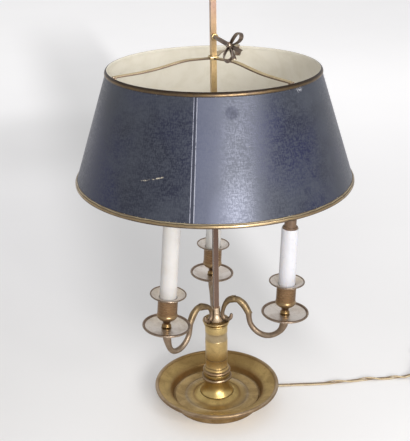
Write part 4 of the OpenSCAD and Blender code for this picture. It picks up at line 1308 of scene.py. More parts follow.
@dataclass
class Base:
    """The spun dish: foot ring, ringed floor, riser, broad brim, rolled rim and raised disc.

    Attributes:
        rim_r: Radius over the rolled rim.
        rim_z: Height of the rim's top.
        roll_r: Radius of the roll.
        foot_r: Outer radius of the foot ring.
        foot_wall: Thickness of the foot ring.
        floor_z: Height of the dish's floor.
        thick: Thickness of the sheet.
        bowl_r: Radius of the riser.
        riser: Share of the rise that the riser takes.
        disc_r: Radius of the disc under the column.
        disc_h: Height of the disc.
        rings: Radius, half width and height of the rings turned on the floor.
        bore: Radius of the hole on the axis.
        drill: Radius of the hole for the flex, its distance from the axis and its height.
        drill_turn: Direction of that hole in degrees.
    """

    rim_r: float = 99.0
    rim_z: float = 34.5
    roll_r: float = 3.0
    foot_r: float = 69.0
    foot_wall: float = 4.0
    floor_z: float = 11.5
    thick: float = 2.5
    bowl_r: float = 74.0
    riser: float = 0.62
    disc_r: float = 36.6
    disc_h: float = 3.0
    rings: tuple[Point, ...] = ((67.0, 1.5, 1.1), (50.0, 3.0, 0.8))
    bore: float = 5.1
    drill: Point = (4.15, 67.0, 4.6)
    drill_turn: float = 20.0

    def side(self) -> list[Spot]:
        """Returns the dish's inner line from the floor's edge up to the roll."""
        roll_x, roll_z = self.rim_r - self.roll_r, self.rim_z - self.roll_r
        bowl, floor = self.bowl_r, self.floor_z
        rise = (roll_z - floor) * self.riser
        brim = roll_z - floor - rise
        knots = ((bowl - 6, floor), (bowl - 4, floor + 0.08 * rise), (bowl - 2.4, floor + 0.42 * rise),
                 (bowl - 0.8, floor + 0.78 * rise), (bowl + 2, floor + rise),
                 ((bowl + roll_x) / 2, floor + rise + 0.55 * brim),
                 (roll_x - self.roll_r - 0.6, roll_z - 0.5))
        return spline(knots, 6)

    def outline(self) -> list[Spot]:
        """Returns the dish's whole outline, from the bore's foot round to it again."""
        under_z, side = self.floor_z - self.thick, self.side()
        under = []
        for i, (x, z) in enumerate(side):
            back, ahead = side[max(i - 1, 0)], side[min(i + 1, len(side) - 1)]
            dx, dz = ahead[0] - back[0], ahead[1] - back[1]
            shift = self.thick / math.hypot(dx, dz)
            if x + dz * shift > self.foot_r + 0.9:
                under.append((x + dz * shift, z - dx * shift))
        foot_in = self.foot_r - self.foot_wall
        line = [(self.bore, under_z), (foot_in, under_z), (foot_in, 0.5), (foot_in + 0.5, 0.0),
                (self.foot_r - 0.5, 0.0), (self.foot_r, 0.5), (self.foot_r, under_z - 0.6),
                (self.foot_r + 0.6, under_z), *under,
                *arc(self.rim_r - self.roll_r, self.rim_z - self.roll_r, self.roll_r, -100, 180, 18),
                *reversed(side)]
        for radius, wide, high in self.rings:
            line += [(radius + wide * (1 - k / 4), self.floor_z + high * math.sin(math.pi * k / 8) ** 2)
                     for k in range(9)]
        top = self.floor_z + self.disc_h
        swell = spline(((self.disc_r + 4.4, self.floor_z), (self.disc_r + 2.0, self.floor_z + 0.3),
                        (self.disc_r, self.floor_z + 1.1), (34.6, 13.7), (31.8, 15.4), (29.0, 16.8),
                        (27.2, 17.4)), 4)
        return [*line, *swell, (26.4, 17.1), (25.0, 17.0), (24.6, top), (self.bore, top),
                (self.bore, under_z)]

    def build(self) -> None:
        """Turns the dish, drills the foot ring for the bushing and dresses both."""
        dish = turned("dish", self.outline(), 160, closed=True)
        at_rest()
        radius, reach, high = self.drill
        bpy.ops.mesh.primitive_cylinder_add(vertices=32, radius=radius * MM, depth=12 * MM)
        turn = math.radians(self.drill_turn)
        way = Vector((math.cos(turn), math.sin(turn), 0.0))
        place = (Matrix.Translation(way * reach * MM + Vector((0, 0, high * MM)))
                 @ way.to_track_quat("Z", "Y").to_matrix().to_4x4())
        crisp(cut_by(dish, set_down(bpy.context.object, place)), 0.0, 30)
        fitted(dish, "lamp", "base_brass", "base_dish", Metal.BASE.made("base_brass"))
        dress(Board().make("cover_board"), "base_cover")


# ---- column


@dataclass
class Column:
    """The turned pieces on the tube: foot, knop, ferrule, shaft, capital and roof, and the finial.

    Attributes:
        bore: Radius of the hole for the tube.
        edge: Width of the broken edges.
        sides: Points round a piece.
    """

    bore: float = 5.1
    edge: float = 0.25
    sides: int = 112

    def bored(self, low: float, outline: Sequence[Spot]) -> list[Spot]:
        """Returns an outline set on a height and closed along the bore.

        Args:
            low: The height of its foot.
            outline: The outline from its foot up.
        """
        top = outline[-1][1] + low
        line = [(r, z + low) for r, z in outline]
        return [(self.bore, low), *line, (self.bore, top), (self.bore, low)]

    def foot(self) -> list[Spot]:
        """Returns the bell of the foot on its crisp lower edge."""
        bell = [(19.2 + 7.2 * (1 - t / 16) ** 2.7, 4.2 + 21.3 * t / 16) for t in range(17)]
        return [(24.5, 0.0), (24.5, 2.6), (26.2, 2.9), (26.6, 3.2), (26.6, 3.8), *bell, (19.2, 26.6),
                (19.0, 27.0)]

    def knop(self) -> list[Spot]:
        """Returns the knop: a full ring, a drum, a groove, a smaller ring and a hollow curve."""
        hollow = spline(((20.2, 18.6), (18.9, 19.6), (18.2, 21.05), (17.9, 23.5)), 4)
        return [(20.3, 0.0), (20.5, 0.5), *arc(20.7, 3.9, 3.3, -90, 90, 14), (20.8, 7.6), (20.8, 11.8),
                (19.6, 12.3), (19.6, 13.1), *arc(19.6, 15.9, 2.4, -90, 90, 12), *hollow]

    def shaft(self) -> list[Spot]:
        """Returns the shaft with its shallow worn band."""
        return [(17.1, 0.0), (17.6, 0.5), (17.6, 33.4), (17.25, 33.9), (17.25, 45.6), (17.6, 46.1),
                (17.6, 58.5)]

    def capital(self) -> list[Spot]:
        """Returns the capital: a small ring, a hollow and a wide ring."""
        return [(17.6, 0.0), *arc(17.8, 1.5, 1.5, -85, 90, 8), (18.0, 3.4), (18.2, 4.0), (18.7, 4.9),
                (19.4, 5.5), *arc(19.8, 7.0, 1.5, -80, 90, 10)]

    def roof(self) -> list[Spot]:
        """Returns the roof's hollow cheek, its collar and the lip that holds the rod."""
        cheek = [(6.47 + 5.93 * (1 - t / 14) ** 1.9, 0.8 + 10.2 * t / 14) for t in range(15)]
        return [(12.7, 0.0), (13.0, 0.3), (13.0, 0.8), *cheek, (7.07, 11.4), (7.07, 12.8), (6.47, 13.3),
                (6.47, 21.0), (5.97, 21.5)]

    def build(self) -> None:
        """Turns, dresses and sets up each piece."""
        brass = Metal.COLUMN.made("column_brass")
        ferrule = [(17.9, 0.0), (17.9, 0.8), (17.2, 1.5), (17.2, 13.5), (17.6, 14.0), (17.6, 15.0)]
        drums = (("foot", "column_foot", 14.5, self.foot()), ("knop", "column_knop", 41.5, self.knop()),
                 ("ferrule", "column_ferrule", 65.0, ferrule), ("shaft", "column_shaft", 80.0, self.shaft()),
                 ("capital_ring", "capital", 138.5, self.capital()))
        for name, node, low, outline in drums:
            piece = crisp(turned(name, self.bored(low, outline), self.sides, closed=True), self.edge)
            fitted(piece, "lamp", "column_brass", node, brass)
        roof = crisp(turned("roof", [(r, z + CAPITAL_TOP) for r, z in self.roof()], self.sides), self.edge)
        fitted(roof, "lamp", "column_brass", "column_roof", Metal.ROOF.made("roof_brass"))
        dress(brass, "lock_nut")
        rod = Metal.ROD.made("rod_brass")
        dress(rod, "centre_rod")
        fitted(self.finial(), "lamp", "rod_brass", "finial", rod)

    def finial(self) -> Piece:
        """Returns the finial: a socket, a neck, a swelling, a waist and a small ball."""
        swell = [(5.112 + 4.888 * math.sin(math.pi * (t / 16) ** 1.25), 10 + t) for t in range(17)]
        line = [(6.3, 0.0), (7.1, 0.7), (7.1, 2.0), (5.7, 2.8), (5.5, 9.0), *swell, (3.1, 26.8),
                *arc(0.0, 30.6, 3.4, -50, 84, 12)]
        return crisp(turned("finial_knob", [(r, z + FINIAL_FOOT) for r, z in line], 64), self.edge)


# ---- arms


@dataclass(frozen=True)
class Seat:
    """Where an arm ends and how its candle stands.

    Attributes:
        side: Which arm it is.
        bearing: Its direction about the axis in degrees.
        reach: The pan's distance from the axis.
        lean: How far the candle leans to the right in degrees.
        bend: How far the arm was bent when it was fitted: outwards and upwards.
        long: Length of its candle tube above the catcher.
    """

    side: str
    bearing: float
    reach: float
    lean: float
    bend: Spot
    long: float

    def place(self) -> Matrix:
        """Returns the place of what stands on the arm's end."""
        turn = math.radians(self.bearing)
        out = shifted(self.reach * math.cos(turn), self.reach * math.sin(turn), SEAT_TOP)
        return out @ spun("Y", self.lean)


SEATS = (Seat("left", 225.7, 105.0, 4.5, (3.0, -2.8), 124.0),
         Seat("right", 340.3, 110.0, 2.0, (-3.0, 3.0), 90.0),
         Seat("back", 93.6, 103.0, 3.0, (0.0, 0.0), 124.0))


@dataclass
class Arm:
    """One cast arm: curled ear, neck, leaf sheath, shoulder, S and widening foot.

    Attributes:
        seat: Its end.
        sides: Points round its section.
        steps: Rings on each stretch of its line.
        line: Distance from the axis, height above the capital and thickness, as first drawn.
    """

    seat: Seat
    sides: int = 20
    steps: int = 4
    line: tuple[Point, ...] = (
        (24.5, 12.5, 4.6), (23.6, 7.5, 6), (20, 4, 6.2), (15.2, 4.2, 6), (11.9, 7, 5.9), (10.7, 13, 6),
        (12, 20.5, 6.4), (16, 28, 7.2), (22.4, 33.8, 9), (29.6, 36.8, 10.3), (31.6, 37.3, 10.3),
        (33.6, 37.4, 9.8), (39, 36.4, 10.1), (45.8, 31, 10.4), (51, 23.4, 9.8), (53.4, 18.4, 10.0),
        (54.2, 15.6, 9.4), (55, 7.5, 8.4), (57.5, -1.5, 8.4), (62.8, -9, 8.8), (70.8, -14.8, 9),
        (80, -17, 9), (89.2, -15.2, 8.6), (96.6, -9.6, 8.6), (102, -0.6, 10), (105, 9.4, 12.4))

    def knots(self) -> list[Point]:
        """Returns the line fitted to this arm's reach and bend; ear and foot keep their places."""
        drawn_reach, neck = 106.0, 11.0
        made = []
        for i, (x, z, thick) in enumerate(self.line):
            share = held((x - 12) / 12) * held((drawn_reach - x) / 12) if i > 6 else 0
            out = x if x < neck else neck + (x - neck) * (self.seat.reach - neck) / (drawn_reach - neck)
            made.append((out + share * self.seat.bend[0], z + share * self.seat.bend[1], thick))
        return made

    def casting(self, knots: Sequence[Point]) -> Piece:
        """Returns the arm itself, drawn out from its rounded ear to its foot.

        Args:
            knots: The arm's fitted line.
        """
        seat = self.seat
        x, z, thick = knots[0]
        ear = [(x + 0.1, z + 1.9, 1.4), (x + 0.08, z + 1.5, 3.0), (x + 0.05, z + 0.8, 4.2)]
        lean = math.sin(math.radians(seat.lean)) * math.cos(math.radians(seat.bearing))
        end = (seat.reach - lean * 3, 23.9, 12.2)
        rows = [*ear, *spline(knots, self.steps), end]
        line = [(r, h, w, w * (0.96 if r > 31 else 1.04)) for r, h, w in rows]
        return drawn("casting", line, Section.ROUND, self.sides)

    def leaf(self, knots: Sequence[Point], first: int, last: int, side: int, tip: Spot) -> Piece:
        """Returns a leaf that lies on the arm and ends in a free tip.

        Args:
            knots: The arm's fitted line.
            first: The knot at which the leaf starts.
            last: The knot after which it is free.
            side: 1 for the outer side of the bend, -1 for the inner.
            tip: The tip's place beyond the last knot, along and away from the arm.
        """
        rows = []
        for i in range(first, last + 1):
            x, z, thick = knots[i]
            dx, dz = knots[i + 1][0] - knots[i - 1][0], knots[i + 1][1] - knots[i - 1][1]
            size = math.hypot(dx, dz)
            share = (i - first) / (last - first)
            off = side * (thick / 2 - 0.45)
            rows.append((x - dz / size * off, z + dx / size * off, 1.3,
                         2.4 + (thick * 0.66 - 2.4) * math.sin(math.pi * (0.12 + 0.7 * share))))
        ahead, out = (dx / size, dz / size), (-dz / size * side, dx / size * side)
        for share, wide in ((0.35, 3.8), (0.7, 2.2), (1.0, 0.5)):
            along, off = tip[0] * share, thick / 2 - 0.55 + tip[1] * share
            rows.append((x + ahead[0] * along + out[0] * off, z + ahead[1] * along + out[1] * off,
                         1.1 - 0.7 * share, wide))
        return drawn("leaf", spline(rows, 3), Section.ROUND, 12)

    def build(self, brass: Material) -> None:
        """Draws out the arm, lays its leaves on, adds its peg and seat, and sets it in place.

        Args:
            brass: Its finish.
        """
        seat, knots = self.seat, self.knots()
        parts = [self.casting(knots)]
        for first, last, side, tip in ((6, 10, 1, (4.4, 1.9)), (7, 10, -1, (3.6, 1.4)),
                                       (12, 15, 1, (3.6, 1.7)), (12, 15, -1, (2.8, 0.8))):
            parts.append(self.leaf(knots, first, last, side, tip))
        peg = turned("peg", [(1.9, 0.0), (2.2, 0.3), (2.2, 3.0)], 24)
        parts.append(set_down(peg, shifted(16.9, 0, 0)))
        arm = joined(f"cast_arm_{seat.side}", parts)
        set_down(arm, shifted(0, 0, CAPITAL_TOP) @ spun("Z", seat.bearing))
        disc = turned("disc", [(5.9, -3.2), (6.6, -3.0), (7.2, -0.8), (7.2, 0.0)], 48)
        arm = joined(arm.name, [arm, set_down(disc, seat.place())])
        crisp(arm, 0.0, 40)
        fitted(arm, "lamp", "arm_brass", f"arm_{seat.side}", brass)


# ---- candle fittings


@dataclass
class CandleFittings:
    """Pan, cup, wax catcher, candle tube, lampholder and bulb: made once, then copied to each arm.

    Attributes:
        pan_r: Radius of the pan.
        pan_h: Height of the pan.
        cup_r: Radius of the cup's barrel.
        catcher_r: Radius of the catcher.
        tube_r: Radius of the candle tube.
        cup_z: Height of the cup's foot over the seat.
        catcher_z: Height of the catcher's foot over the seat.
        tube_z: Height of the tube's lower end, down in the cup.
    """

    pan_r: float = 35.5
    pan_h: float = 7.5
    cup_r: float = 14.6
    catcher_r: float = 26.5
    tube_r: float = 12.5
    cup_z: float = 1.5
    catcher_z: float = 51.5
    tube_z: float = 37.5

    def dish(self, name: str, hole: float, well: float, radius: float, high: float, edge: float,
             thick: float, curve: float) -> Piece:
        """Returns a shallow spun dish with a rolled and milled edge.

        Args:
            name: Its name.
            hole: Radius of its hole.
            well: Radius of its flat middle.
            radius: Radius over its edge.
            high: Height of its edge.
            edge: Radius of the edge's section.
            thick: Thickness of its sheet.
            curve: Power of the curve that its wall rises in.
        """
        run, rise = radius - edge - well, high - 2 * edge
        shares = [k / 12 for k in range(1, 13)]
        under = [(well + run * t, rise * t ** curve) for t in shares]
        over = [(well + run * t, thick + rise * t ** curve) for t in reversed(shares[:-1])]
        line = [(hole, 0.0), (well, 0.0), *under, *arc(radius - edge, high - edge, edge, -80, 180, 9), *over,
                (well, thick), (hole, thick), (hole, 0.0)]
        dish = turned(name, line, 108, closed=True)
        outer, low = (radius - 0.75 * edge) * MM, (high - 1.62 * edge) * MM
        picked(dish, lambda at, _: math.hypot(at.x, at.y) > outer and at.z > low)
        bpy.ops.mesh.inset(thickness=0.00008, use_individual=True)
        bpy.ops.transform.shrink_fatten(value=0.00022)
        switch("OBJECT")
        rim = (radius - 2.4 * edge) * MM
        return crisp(parted(dish, lambda at, _: math.hypot(at.x, at.y) > rim), 0.0, 38)

    def cup(self) -> Piece:
        """Returns the turned cup: foot, knob, dark waist, swelling and a barrel with five grooves."""
        foot = spline(((7.4, 0.0), (7.4, 0.9), (5.4, 1.5), (6.2, 2.2), (6.9, 3.2), (7.1, 4.1), (6.8, 5.0),
                       (6.0, 6.0), (5.3, 6.9), (5.4, 8.5), (6.0, 10.5), (7.2, 12.5), (9.0, 14.2),
                       (11.6, 15.8), (13.6, 17.5), (14.8, 19.3), (15.4, 21.2), (15.2, 23.0), (14.6, 24.2)), 2)
        line = [(3.1, 0.0), *foot]
        for height in (27.9, 33.5, 37.7, 41.9, 45.8):
            line += [(self.cup_r - deep, height + off)
                     for deep, off in ((0.0, -0.7), (0.5, -0.3), (0.5, 0.3), (0.0, 0.7))]
        line += [(self.cup_r, 47.6), (15.1, 48.6), (15.2, 49.0), (15.2, 49.7), (14.9, 50.0), (12.6, 50.0),
                 (12.6, 36.0), (3.1, 36.0), (3.1, 0.0)]
        return crisp(turned("cup", [(r, z + self.cup_z) for r, z in line], 80, closed=True), 0.0, 34)

    def tube(self, long: float) -> Piece:
        """Returns a candle tube with a softened top edge, open from end to end.

        Args:
            long: Its length above the catcher.
        """
        top, out, low = self.catcher_z + 1.3 + long, self.tube_r, self.tube_z
        line = [(11.3, low), (out, low), (out, top - 0.5), (out - 0.15, top - 0.15), (out - 0.5, top),
                (11.6, top), (11.3, top - 0.3), (11.3, low)]
        return crisp(turned("tube", line, 72, closed=True), 0.0, 40)

    def holder(self, long: float) -> Piece:
        """Returns the lampholder on its stem, with a flange in the tube and ribs round its shell.

        Args:
            long: Length of the candle tube that it stands in.
        """
        edge = self.catcher_z + 1.3 + long
        top = edge + 14
        shell = [(8.8, edge + 2.6)]
        for k in range(5):
            z = edge + 4.2 + 1.9 * k
            shell += [(8.5, z - 0.5), (8.8, z - 0.1), (8.8, z + 0.9), (8.5, z + 1.2)]
        line = [(11.25, self.tube_z), (11.25, 39.0), (5.0, 39.1), (5.0, top - 34), (8.8, top - 32),
                (8.8, edge - 6), (11.25, edge - 5.9), (11.25, edge + 2.0), (10.7, edge + 2.6), *shell,
                (8.5, top - 0.4), (8.2, top), (6.9, top)]
        return crisp(turned("holder", line, 48), 0.15)

    def bulb(self, long: float, glass: Material, cap: Material, wire: Material) -> Piece:
        """Returns a candle-shaped bulb: hollow glass, stem, hairpin filament and screw cap.

        Args:
            long: Length of the candle tube that it stands in.
            glass: Finish of the glass.
            cap: Finish of the cap.
            wire: Finish of the filament.
        """
        top = self.catcher_z + 15.3 + long

        def skin(inset: float) -> list[Spot]:
            """Returns the outline of the glass, drawn in by an inset.

            Args:
                inset: How far it is drawn in.
            """
            rows = []
            for k in range(19):
                t = k / 18
                full = max(math.sin(math.pi * t ** 0.72), 0.0) ** 0.9 * (1 - 0.1 * t)
                rows.append((max(6.6 + 8.9 * full - 5.676 * t ** 3 - inset, 0.25),
                             top + 1.5 + inset + (69 - 2 * inset) * t))
            return rows

        outer, inner = turned("glass", skin(0.0), 48), turned("inner", skin(0.6), 48)
        picked(inner, lambda *_: True)
        bpy.ops.mesh.flip_normals()
        switch("OBJECT")
        thread = [(4.6, top - 20), (6.0, top - 18.4)]
        for k in range(6):
            thread += [(6.2, top - 17.4 + 2.6 * k), (6.6, top - 16.4 + 2.6 * k), (6.2, top - 15.3 + 2.6 * k)]
        screw = turned("screw", [*thread, (6.6, top - 0.6), (6.6, top + 1.6)], 36)
        stem = turned("stem", [(3.4, top + 1.7), (2.6, top + 8), (1.4, top + 20), (1.2, top + 27)], 20)
        hairpin = spline(((-1.0, top + 25), (-2.2, top + 32), (-3.4, top + 44), (-1.6, top + 50),
                          (1.6, top + 50), (3.4, top + 44), (2.2, top + 32), (1.0, top + 25)), 4)
        pin = drawn("pin", [(x, z, 0.4, 0.4) for x, z in hairpin], Section.ROUND, 6)
        for part, finish in ((outer, glass), (inner, glass), (stem, glass), (screw, cap), (pin, wire)):
            part.data.materials.append(finish)
        return crisp(joined("bulb", [outer, inner, stem, screw, pin]), 0.0, 34)

    def build(self) -> None:
        """Makes each fitting and sets its copies down on the three arms."""
        pan_brass, cup_brass = Metal.PAN.made("pan_brass"), Metal.CUP.made("cup_brass")
        spun_brass = (pan_brass, Metal.RIM.made("rim_brass"))
        brown = Moulded(tint(100, 78, 60), tint(128, 104, 80)).make("holder_brown")
        glass, wire = BulbGlass().make("bulb_glass"), Metal.STEEL.made("filament_wire")
        cap = Metal.CARRIER.made("cap_brass")
        wax = {"left": Enamel(tint(198, 195, 193), tint(184, 178, 172), 0.4, 0.2, 0.4),
               "right": Enamel(tint(206, 205, 210), tint(194, 192, 196), 0.34, 0.25, 0.4),
               "back": Enamel(tint(196, 194, 192), tint(180, 176, 170), 0.38, 0.2, 0.4)}
        pan = self.dish("pan", 3.1, 7.2, self.pan_r, self.pan_h, 1.7, 1.5, 1.8)
        catcher = self.dish("catcher", 13.2, 15.2, self.catcher_r, 6.5, 0.9, 1.3, 1.5)
        cup = self.cup()
        for seat in SEATS:
            place, long = seat.place(), seat.long
            high = place @ shifted(0, 0, self.catcher_z)
            rows = (("drip_pan", copied(pan, "pan"), place, "pan_brass", "pan", spun_brass),
                    ("wax_catcher", copied(catcher, "catcher"), high, "pan_brass", "catcher", spun_brass),
                    ("candle_cup", copied(cup, "cup"), place, "cup_brass", "cup", (cup_brass,)),
                    ("candle_tube", self.tube(long), place, "candle_white", "candle",
                     (wax[seat.side].make(f"candle_{seat.side}"),)),
                    ("lampholder", self.holder(long), place, "holder_brown", "holder", (brown,)),
                    ("candle_bulb", self.bulb(long, glass, cap, wire), place, "bulb_glass", "bulb", ()))
            for name, piece, at, slot, node, finishes in rows:
                set_down(called(piece, f"{name}_{seat.side}"), at)
                fitted(piece, "lamp", slot, f"{node}_{seat.side}", *finishes)
        thrown_away(pan, catcher, cup)


# ---- shade


@dataclass
class Shade:
    """The tapered sheet, painted outside and cream inside, its lapped seam and two gilt bindings.

    Attributes:
        low: Radius and height of the sheet's lower edge, outside, in millimetres.
        top: Radius and height of its upper edge.
        thick: Thickness of the sheet.
        bind_h: Height of a binding's section.
        bind_t: Its thickness.
        proud: How far a binding's middle stands out from the sheet's.
        seam_at: Direction of the seam's middle about the axis, in degrees.
        seam_wide: Width of the lap in degrees.
        lap: How far the lap stands proud.
        sides: Points round the sheet.
        levels: Rings up its height.
    """

    low: Spot = (199.2, 386.6)
    top: Spot = (149.5, 541.9)
    thick: float = 0.7
    bind_h: float = 6.2
    bind_t: float = 3.2
    proud: float = 0.25
    seam_at: float = 261.5
    seam_wide: float = 1.8
    lap: float = 0.6
    sides: int = 192
    levels: int = 16

    def slope(self) -> float:
        """Returns how far the sheet draws in on each millimetre of rise."""
        return (self.low[0] - self.top[0]) / (self.top[1] - self.low[1])

    def radius(self, height: float) -> float:
        """Returns the sheet's outer radius at a height."""
        return self.low[0] - self.slope() * (height - self.low[1])

    def sheet(self, outside: Material, inside: Material) -> None:
        """Turns the sheet and gives each face its paint.

        Args:
            outside: Finish of the outer face.
            inside: Finish of the inner face and both edges.
        """
        (low_r, low_z), (top_r, top_z), count = self.low, self.top, self.levels
        rise = [(low_r + (top_r - low_r) * k / count, low_z + (top_z - low_z) * k / count)
                for k in range(count + 1)]
        inner = [(r - self.thick, z) for r, z in reversed(rise)]
        sheet = turned("shade_sheet", [*rise, *inner, rise[0]], self.sides, closed=True)
        fitted(sheet, "shade", "shade_paint", "shade_cone", outside, inside)
        crisp(parted(sheet, lambda at, way: outward(at, way) <= 0.5), 0.0, 40)

    def binding(self, name: str, node: str, height: float, gilt: Material, lining: Material) -> None:
        """Turns one binding: a slim oval along the sheet's edge with a crease near its top.

        Args:
            name: The piece's name.
            node: The solid that it stands for.
            height: Height of its middle.
            gilt: Its finish.
            lining: The paint that runs over its inner side.
        """
        middle = self.radius(height) + self.proud
        line = []
        for k in range(29):
            a = math.tau * k / 28
            dent = 0.35 if k in (3, 4) else 0.0
            out = (self.bind_t / 2 - dent) * math.cos(a) - self.slope() * self.bind_h / 2 * math.sin(a)
            line.append((middle + out, height + self.bind_h / 2 * math.sin(a)))
        binding = parted(turned(name, line, self.sides, closed=True),
                         lambda at, way: outward(at, way) < -0.3)
        fitted(crisp(binding, 0.0, 40), "shade", "gilt", node, gilt, lining)

    def seam(self, paint: Material) -> None:
        """Lays the seam's lap on the sheet: a grid bent round it and given its thickness.

        Args:
            paint: Its finish.
        """
        low, high = self.low[1] + 3.4, self.top[1] - 3.4
        at_rest()
        bpy.ops.mesh.primitive_grid_add(x_subdivisions=8, y_subdivisions=24, size=2.0)
        lap = started("seam_lap")
        switch("OBJECT")
        for vertex in lap.data.vertices:
            height = low + (high - low) * (vertex.co.y + 1) / 2
            turn = math.radians(self.seam_at + vertex.co.x * self.seam_wide / 2)
            out = self.radius(height) + self.lap
            vertex.co = Vector((out * math.cos(turn), out * math.sin(turn), height)) * MM
        taken_up(lap)
        bpy.ops.object.modifier_add(type="SOLIDIFY")
        lap.modifiers[-1].thickness, lap.modifiers[-1].offset = self.lap * MM, -1.0
        bpy.ops.object.modifier_apply(modifier=lap.modifiers[-1].name)
        fitted(crisp(lap, 0.15, 40), "shade", "shade_paint", "shade_seam", paint)

    def build(self) -> None:
        """Makes the sheet, its bindings and its seam."""
        paint = ShadePaint().make("shade_paint")
        lining = Enamel(tint(221, 216, 202), tint(184, 174, 146)).make("shade_lining")
        self.sheet(paint, lining)
        for end, (_, height), gilt in (("low", self.low, Metal.GILT_LOW), ("top", self.top, Metal.GILT_TOP)):
            self.binding(f"binding_{end}", f"shade_bead_{end}", height, gilt.made(f"gilt_{end}"), lining)
        self.seam(LapPaint().make("lap_paint"))


# ---- shade carrier


@dataclass
class Carrier:
    """The square sleeve with its boss, and the hub with its three creased strips.

    Attributes:
        turn: How far the square rod is turned, in degrees.
        rod: Width of the rod.
        sleeve: Width of the sleeve.
        sleeve_z: Height of the sleeve's foot.
        sleeve_h: Height of the sleeve.
        boss_r: Radius of the boss.
        boss_l: Length of the boss.
        screw_r: Radius of the screw.
        screw_z: Height of the screw.
        hub_z: Height of the hub's underside.
        strip_ends: Directions of the three strips.
        strip_w: Width of a strip.
        strip_t: Thickness of a strip.
    """

    turn: float = 17.5
    rod: float = 7.6
    sleeve: float = 9.8
    sleeve_z: float = 554.0
    sleeve_h: float = 37.5
    boss_r: float = 4.8
    boss_l: float = 4.5
    screw_r: float = 3.0
    screw_z: float = 586.5
    hub_z: float = 555.4
    strip_ends: Point = (207.0, 312.0, 75.5)
    strip_w: float = 7.4
    strip_t: float = 2.2

    def turned_by_rod(self) -> Matrix:
        """Returns the turn that the rod gives to what sits on it."""
        return spun("Z", self.turn)

    def screw_line(self) -> Matrix:
        """Returns the place whose Z axis is the screw's line."""
        return shifted(0, 0, self.screw_z) @ spun("Z", self.turn - 90) @ spun("Y", 90)

    def square(self, name: str, width: float, low: float, high: float) -> Piece:
        """Returns a square block about the axis, turned as the rod is."""
        half = width / 2
        return set_down(block(name, (-half, -half, low), (half, half, high)), self.turned_by_rod())

    def boss(self) -> Piece:
        """Returns the boss with its turned lip, out from inside the sleeve."""
        end = self.sleeve / 2 + self.boss_l
        line = [(self.boss_r, 3.9), (self.boss_r, end - 1.6), (self.boss_r - 0.5, end - 1.2),
                (self.boss_r - 0.5, end - 0.8), (self.boss_r, end - 0.5), (self.boss_r - 0.3, end)]
        return set_down(turned("boss", line, 40), self.screw_line())

    def sleeve_piece(self) -> Piece:
        """Returns the sleeve: a square tube with broken edges, bored across for the screw."""
        low, high = self.sleeve_z, self.sleeve_z + self.sleeve_h
        body = crisp(self.square("sleeve", self.sleeve, low, high), 0.5, 30, 3)
        sleeve = joined("square_sleeve", [body, crisp(self.boss(), 0.2)])
        cut_by(sleeve, self.square("way", self.rod + 0.2, low - 2, high + 2))
        way_in = self.screw_r + 0.05
        drill = set_down(turned("drill", [(way_in, 0.0), (way_in, 20.0)], 40), self.screw_line())
        return crisp(cut_by(sleeve, drill), 0.0, 30)

    def strip(self) -> Piece:
        """Returns one strip along +X: level out of the hub, down in a curve to the rim, and its tab."""
        rim, rest = 147.68, 545.05
        rows = ((0.2, -0.06), (0.257, -0.07), (0.33, 0.01), (0.42, 0.21), (0.507, 0.43), (0.615, 0.66),
                (0.73, 0.82), (0.845, 0.91), (0.95, 0.96))
        half = self.strip_t / 2
        curve = spline([(rim * out, self.hub_z + (rest - self.hub_z) * down + half) for out, down in rows], 3)
        line = [(5.2, self.hub_z + half), *curve, (rim, rest + 0.95), (rim + 1.9, rest + 0.95)]
        strip = drawn("strip", [(x, z, self.strip_t - 0.3 * (x > rim - 2), self.strip_w) for x, z in line],
                      Section.BAR, 7)
        lanes = self.strip_w * MM / 7
        picked(strip, lambda at, way: way.z > 0.5 and abs(abs(at.y) - 2 * lanes) < 0.4 * lanes
               and 0.012 < at.x < (rim - 4) * MM)
        bpy.ops.transform.shrink_fatten(value=-0.0005)
        switch("OBJECT")
        down = ((rim - half, rest + 0.6), (rim - half, 538.0), (151.4, 529.8))
        tab = drawn("tab", [(x, z, self.strip_t, self.strip_w) for x, z in down], Section.BAR, 1)
        head = ((2.4, 1.3), (2.4, 1.9), (1.8, 2.5), (0.7, 2.8))
        rivet = set_down(turned("rivet", [(r, rest + z) for r, z in head], 20), shifted(rim - 2.6, 0, 0))
        return joined("strip", [strip, tab, rivet])

    def spider(self) -> Piece:
        """Returns the hub with its three strips."""
        hub = crisp(self.square("hub", self.sleeve + 2.4, self.hub_z - 1, self.hub_z + 4), 0.6, 30, 3)
        cut_by(hub, self.square("way", self.sleeve + 0.02, self.hub_z - 3, self.hub_z + 6))
        first = self.strip()
        strips = [set_down(copied(first, "strip"), spun("Z", way)) for way in self.strip_ends]
        thrown_away(first)
        return crisp(joined("three_strips", [hub, *strips]), 0.15, 34)

    def build(self) -> None:
        """Makes the sleeve and the spider and dresses them, with painted shade on the sleeve's left face and
        on the strips' sides.
        """
        # Painted shade: a darker bronze for the sleeve's left face and the strips' sides, which the light
        # does not reach.
        edges = Metal.RIM.made("painted_shade_bronze")
        sleeve, spider = self.sleeve_piece(), self.spider()
        fitted(sleeve, "shade", "carrier_brass", "shade_sleeve", Metal.CARRIER.made("carrier_brass"), edges)
        fitted(spider, "shade", "carrier_brass", "shade_spider", Metal.STRIP.made("strip_brass"), edges)
        left = self.turned_by_rod().to_3x3() @ Vector((-1.0, 0.0, 0.0))
        parted(sleeve, lambda _, way: way.dot(left) > 0.8)
        parted(spider, lambda at, way: abs(way.z) < 0.6 and math.hypot(*at.xy) > 0.010)


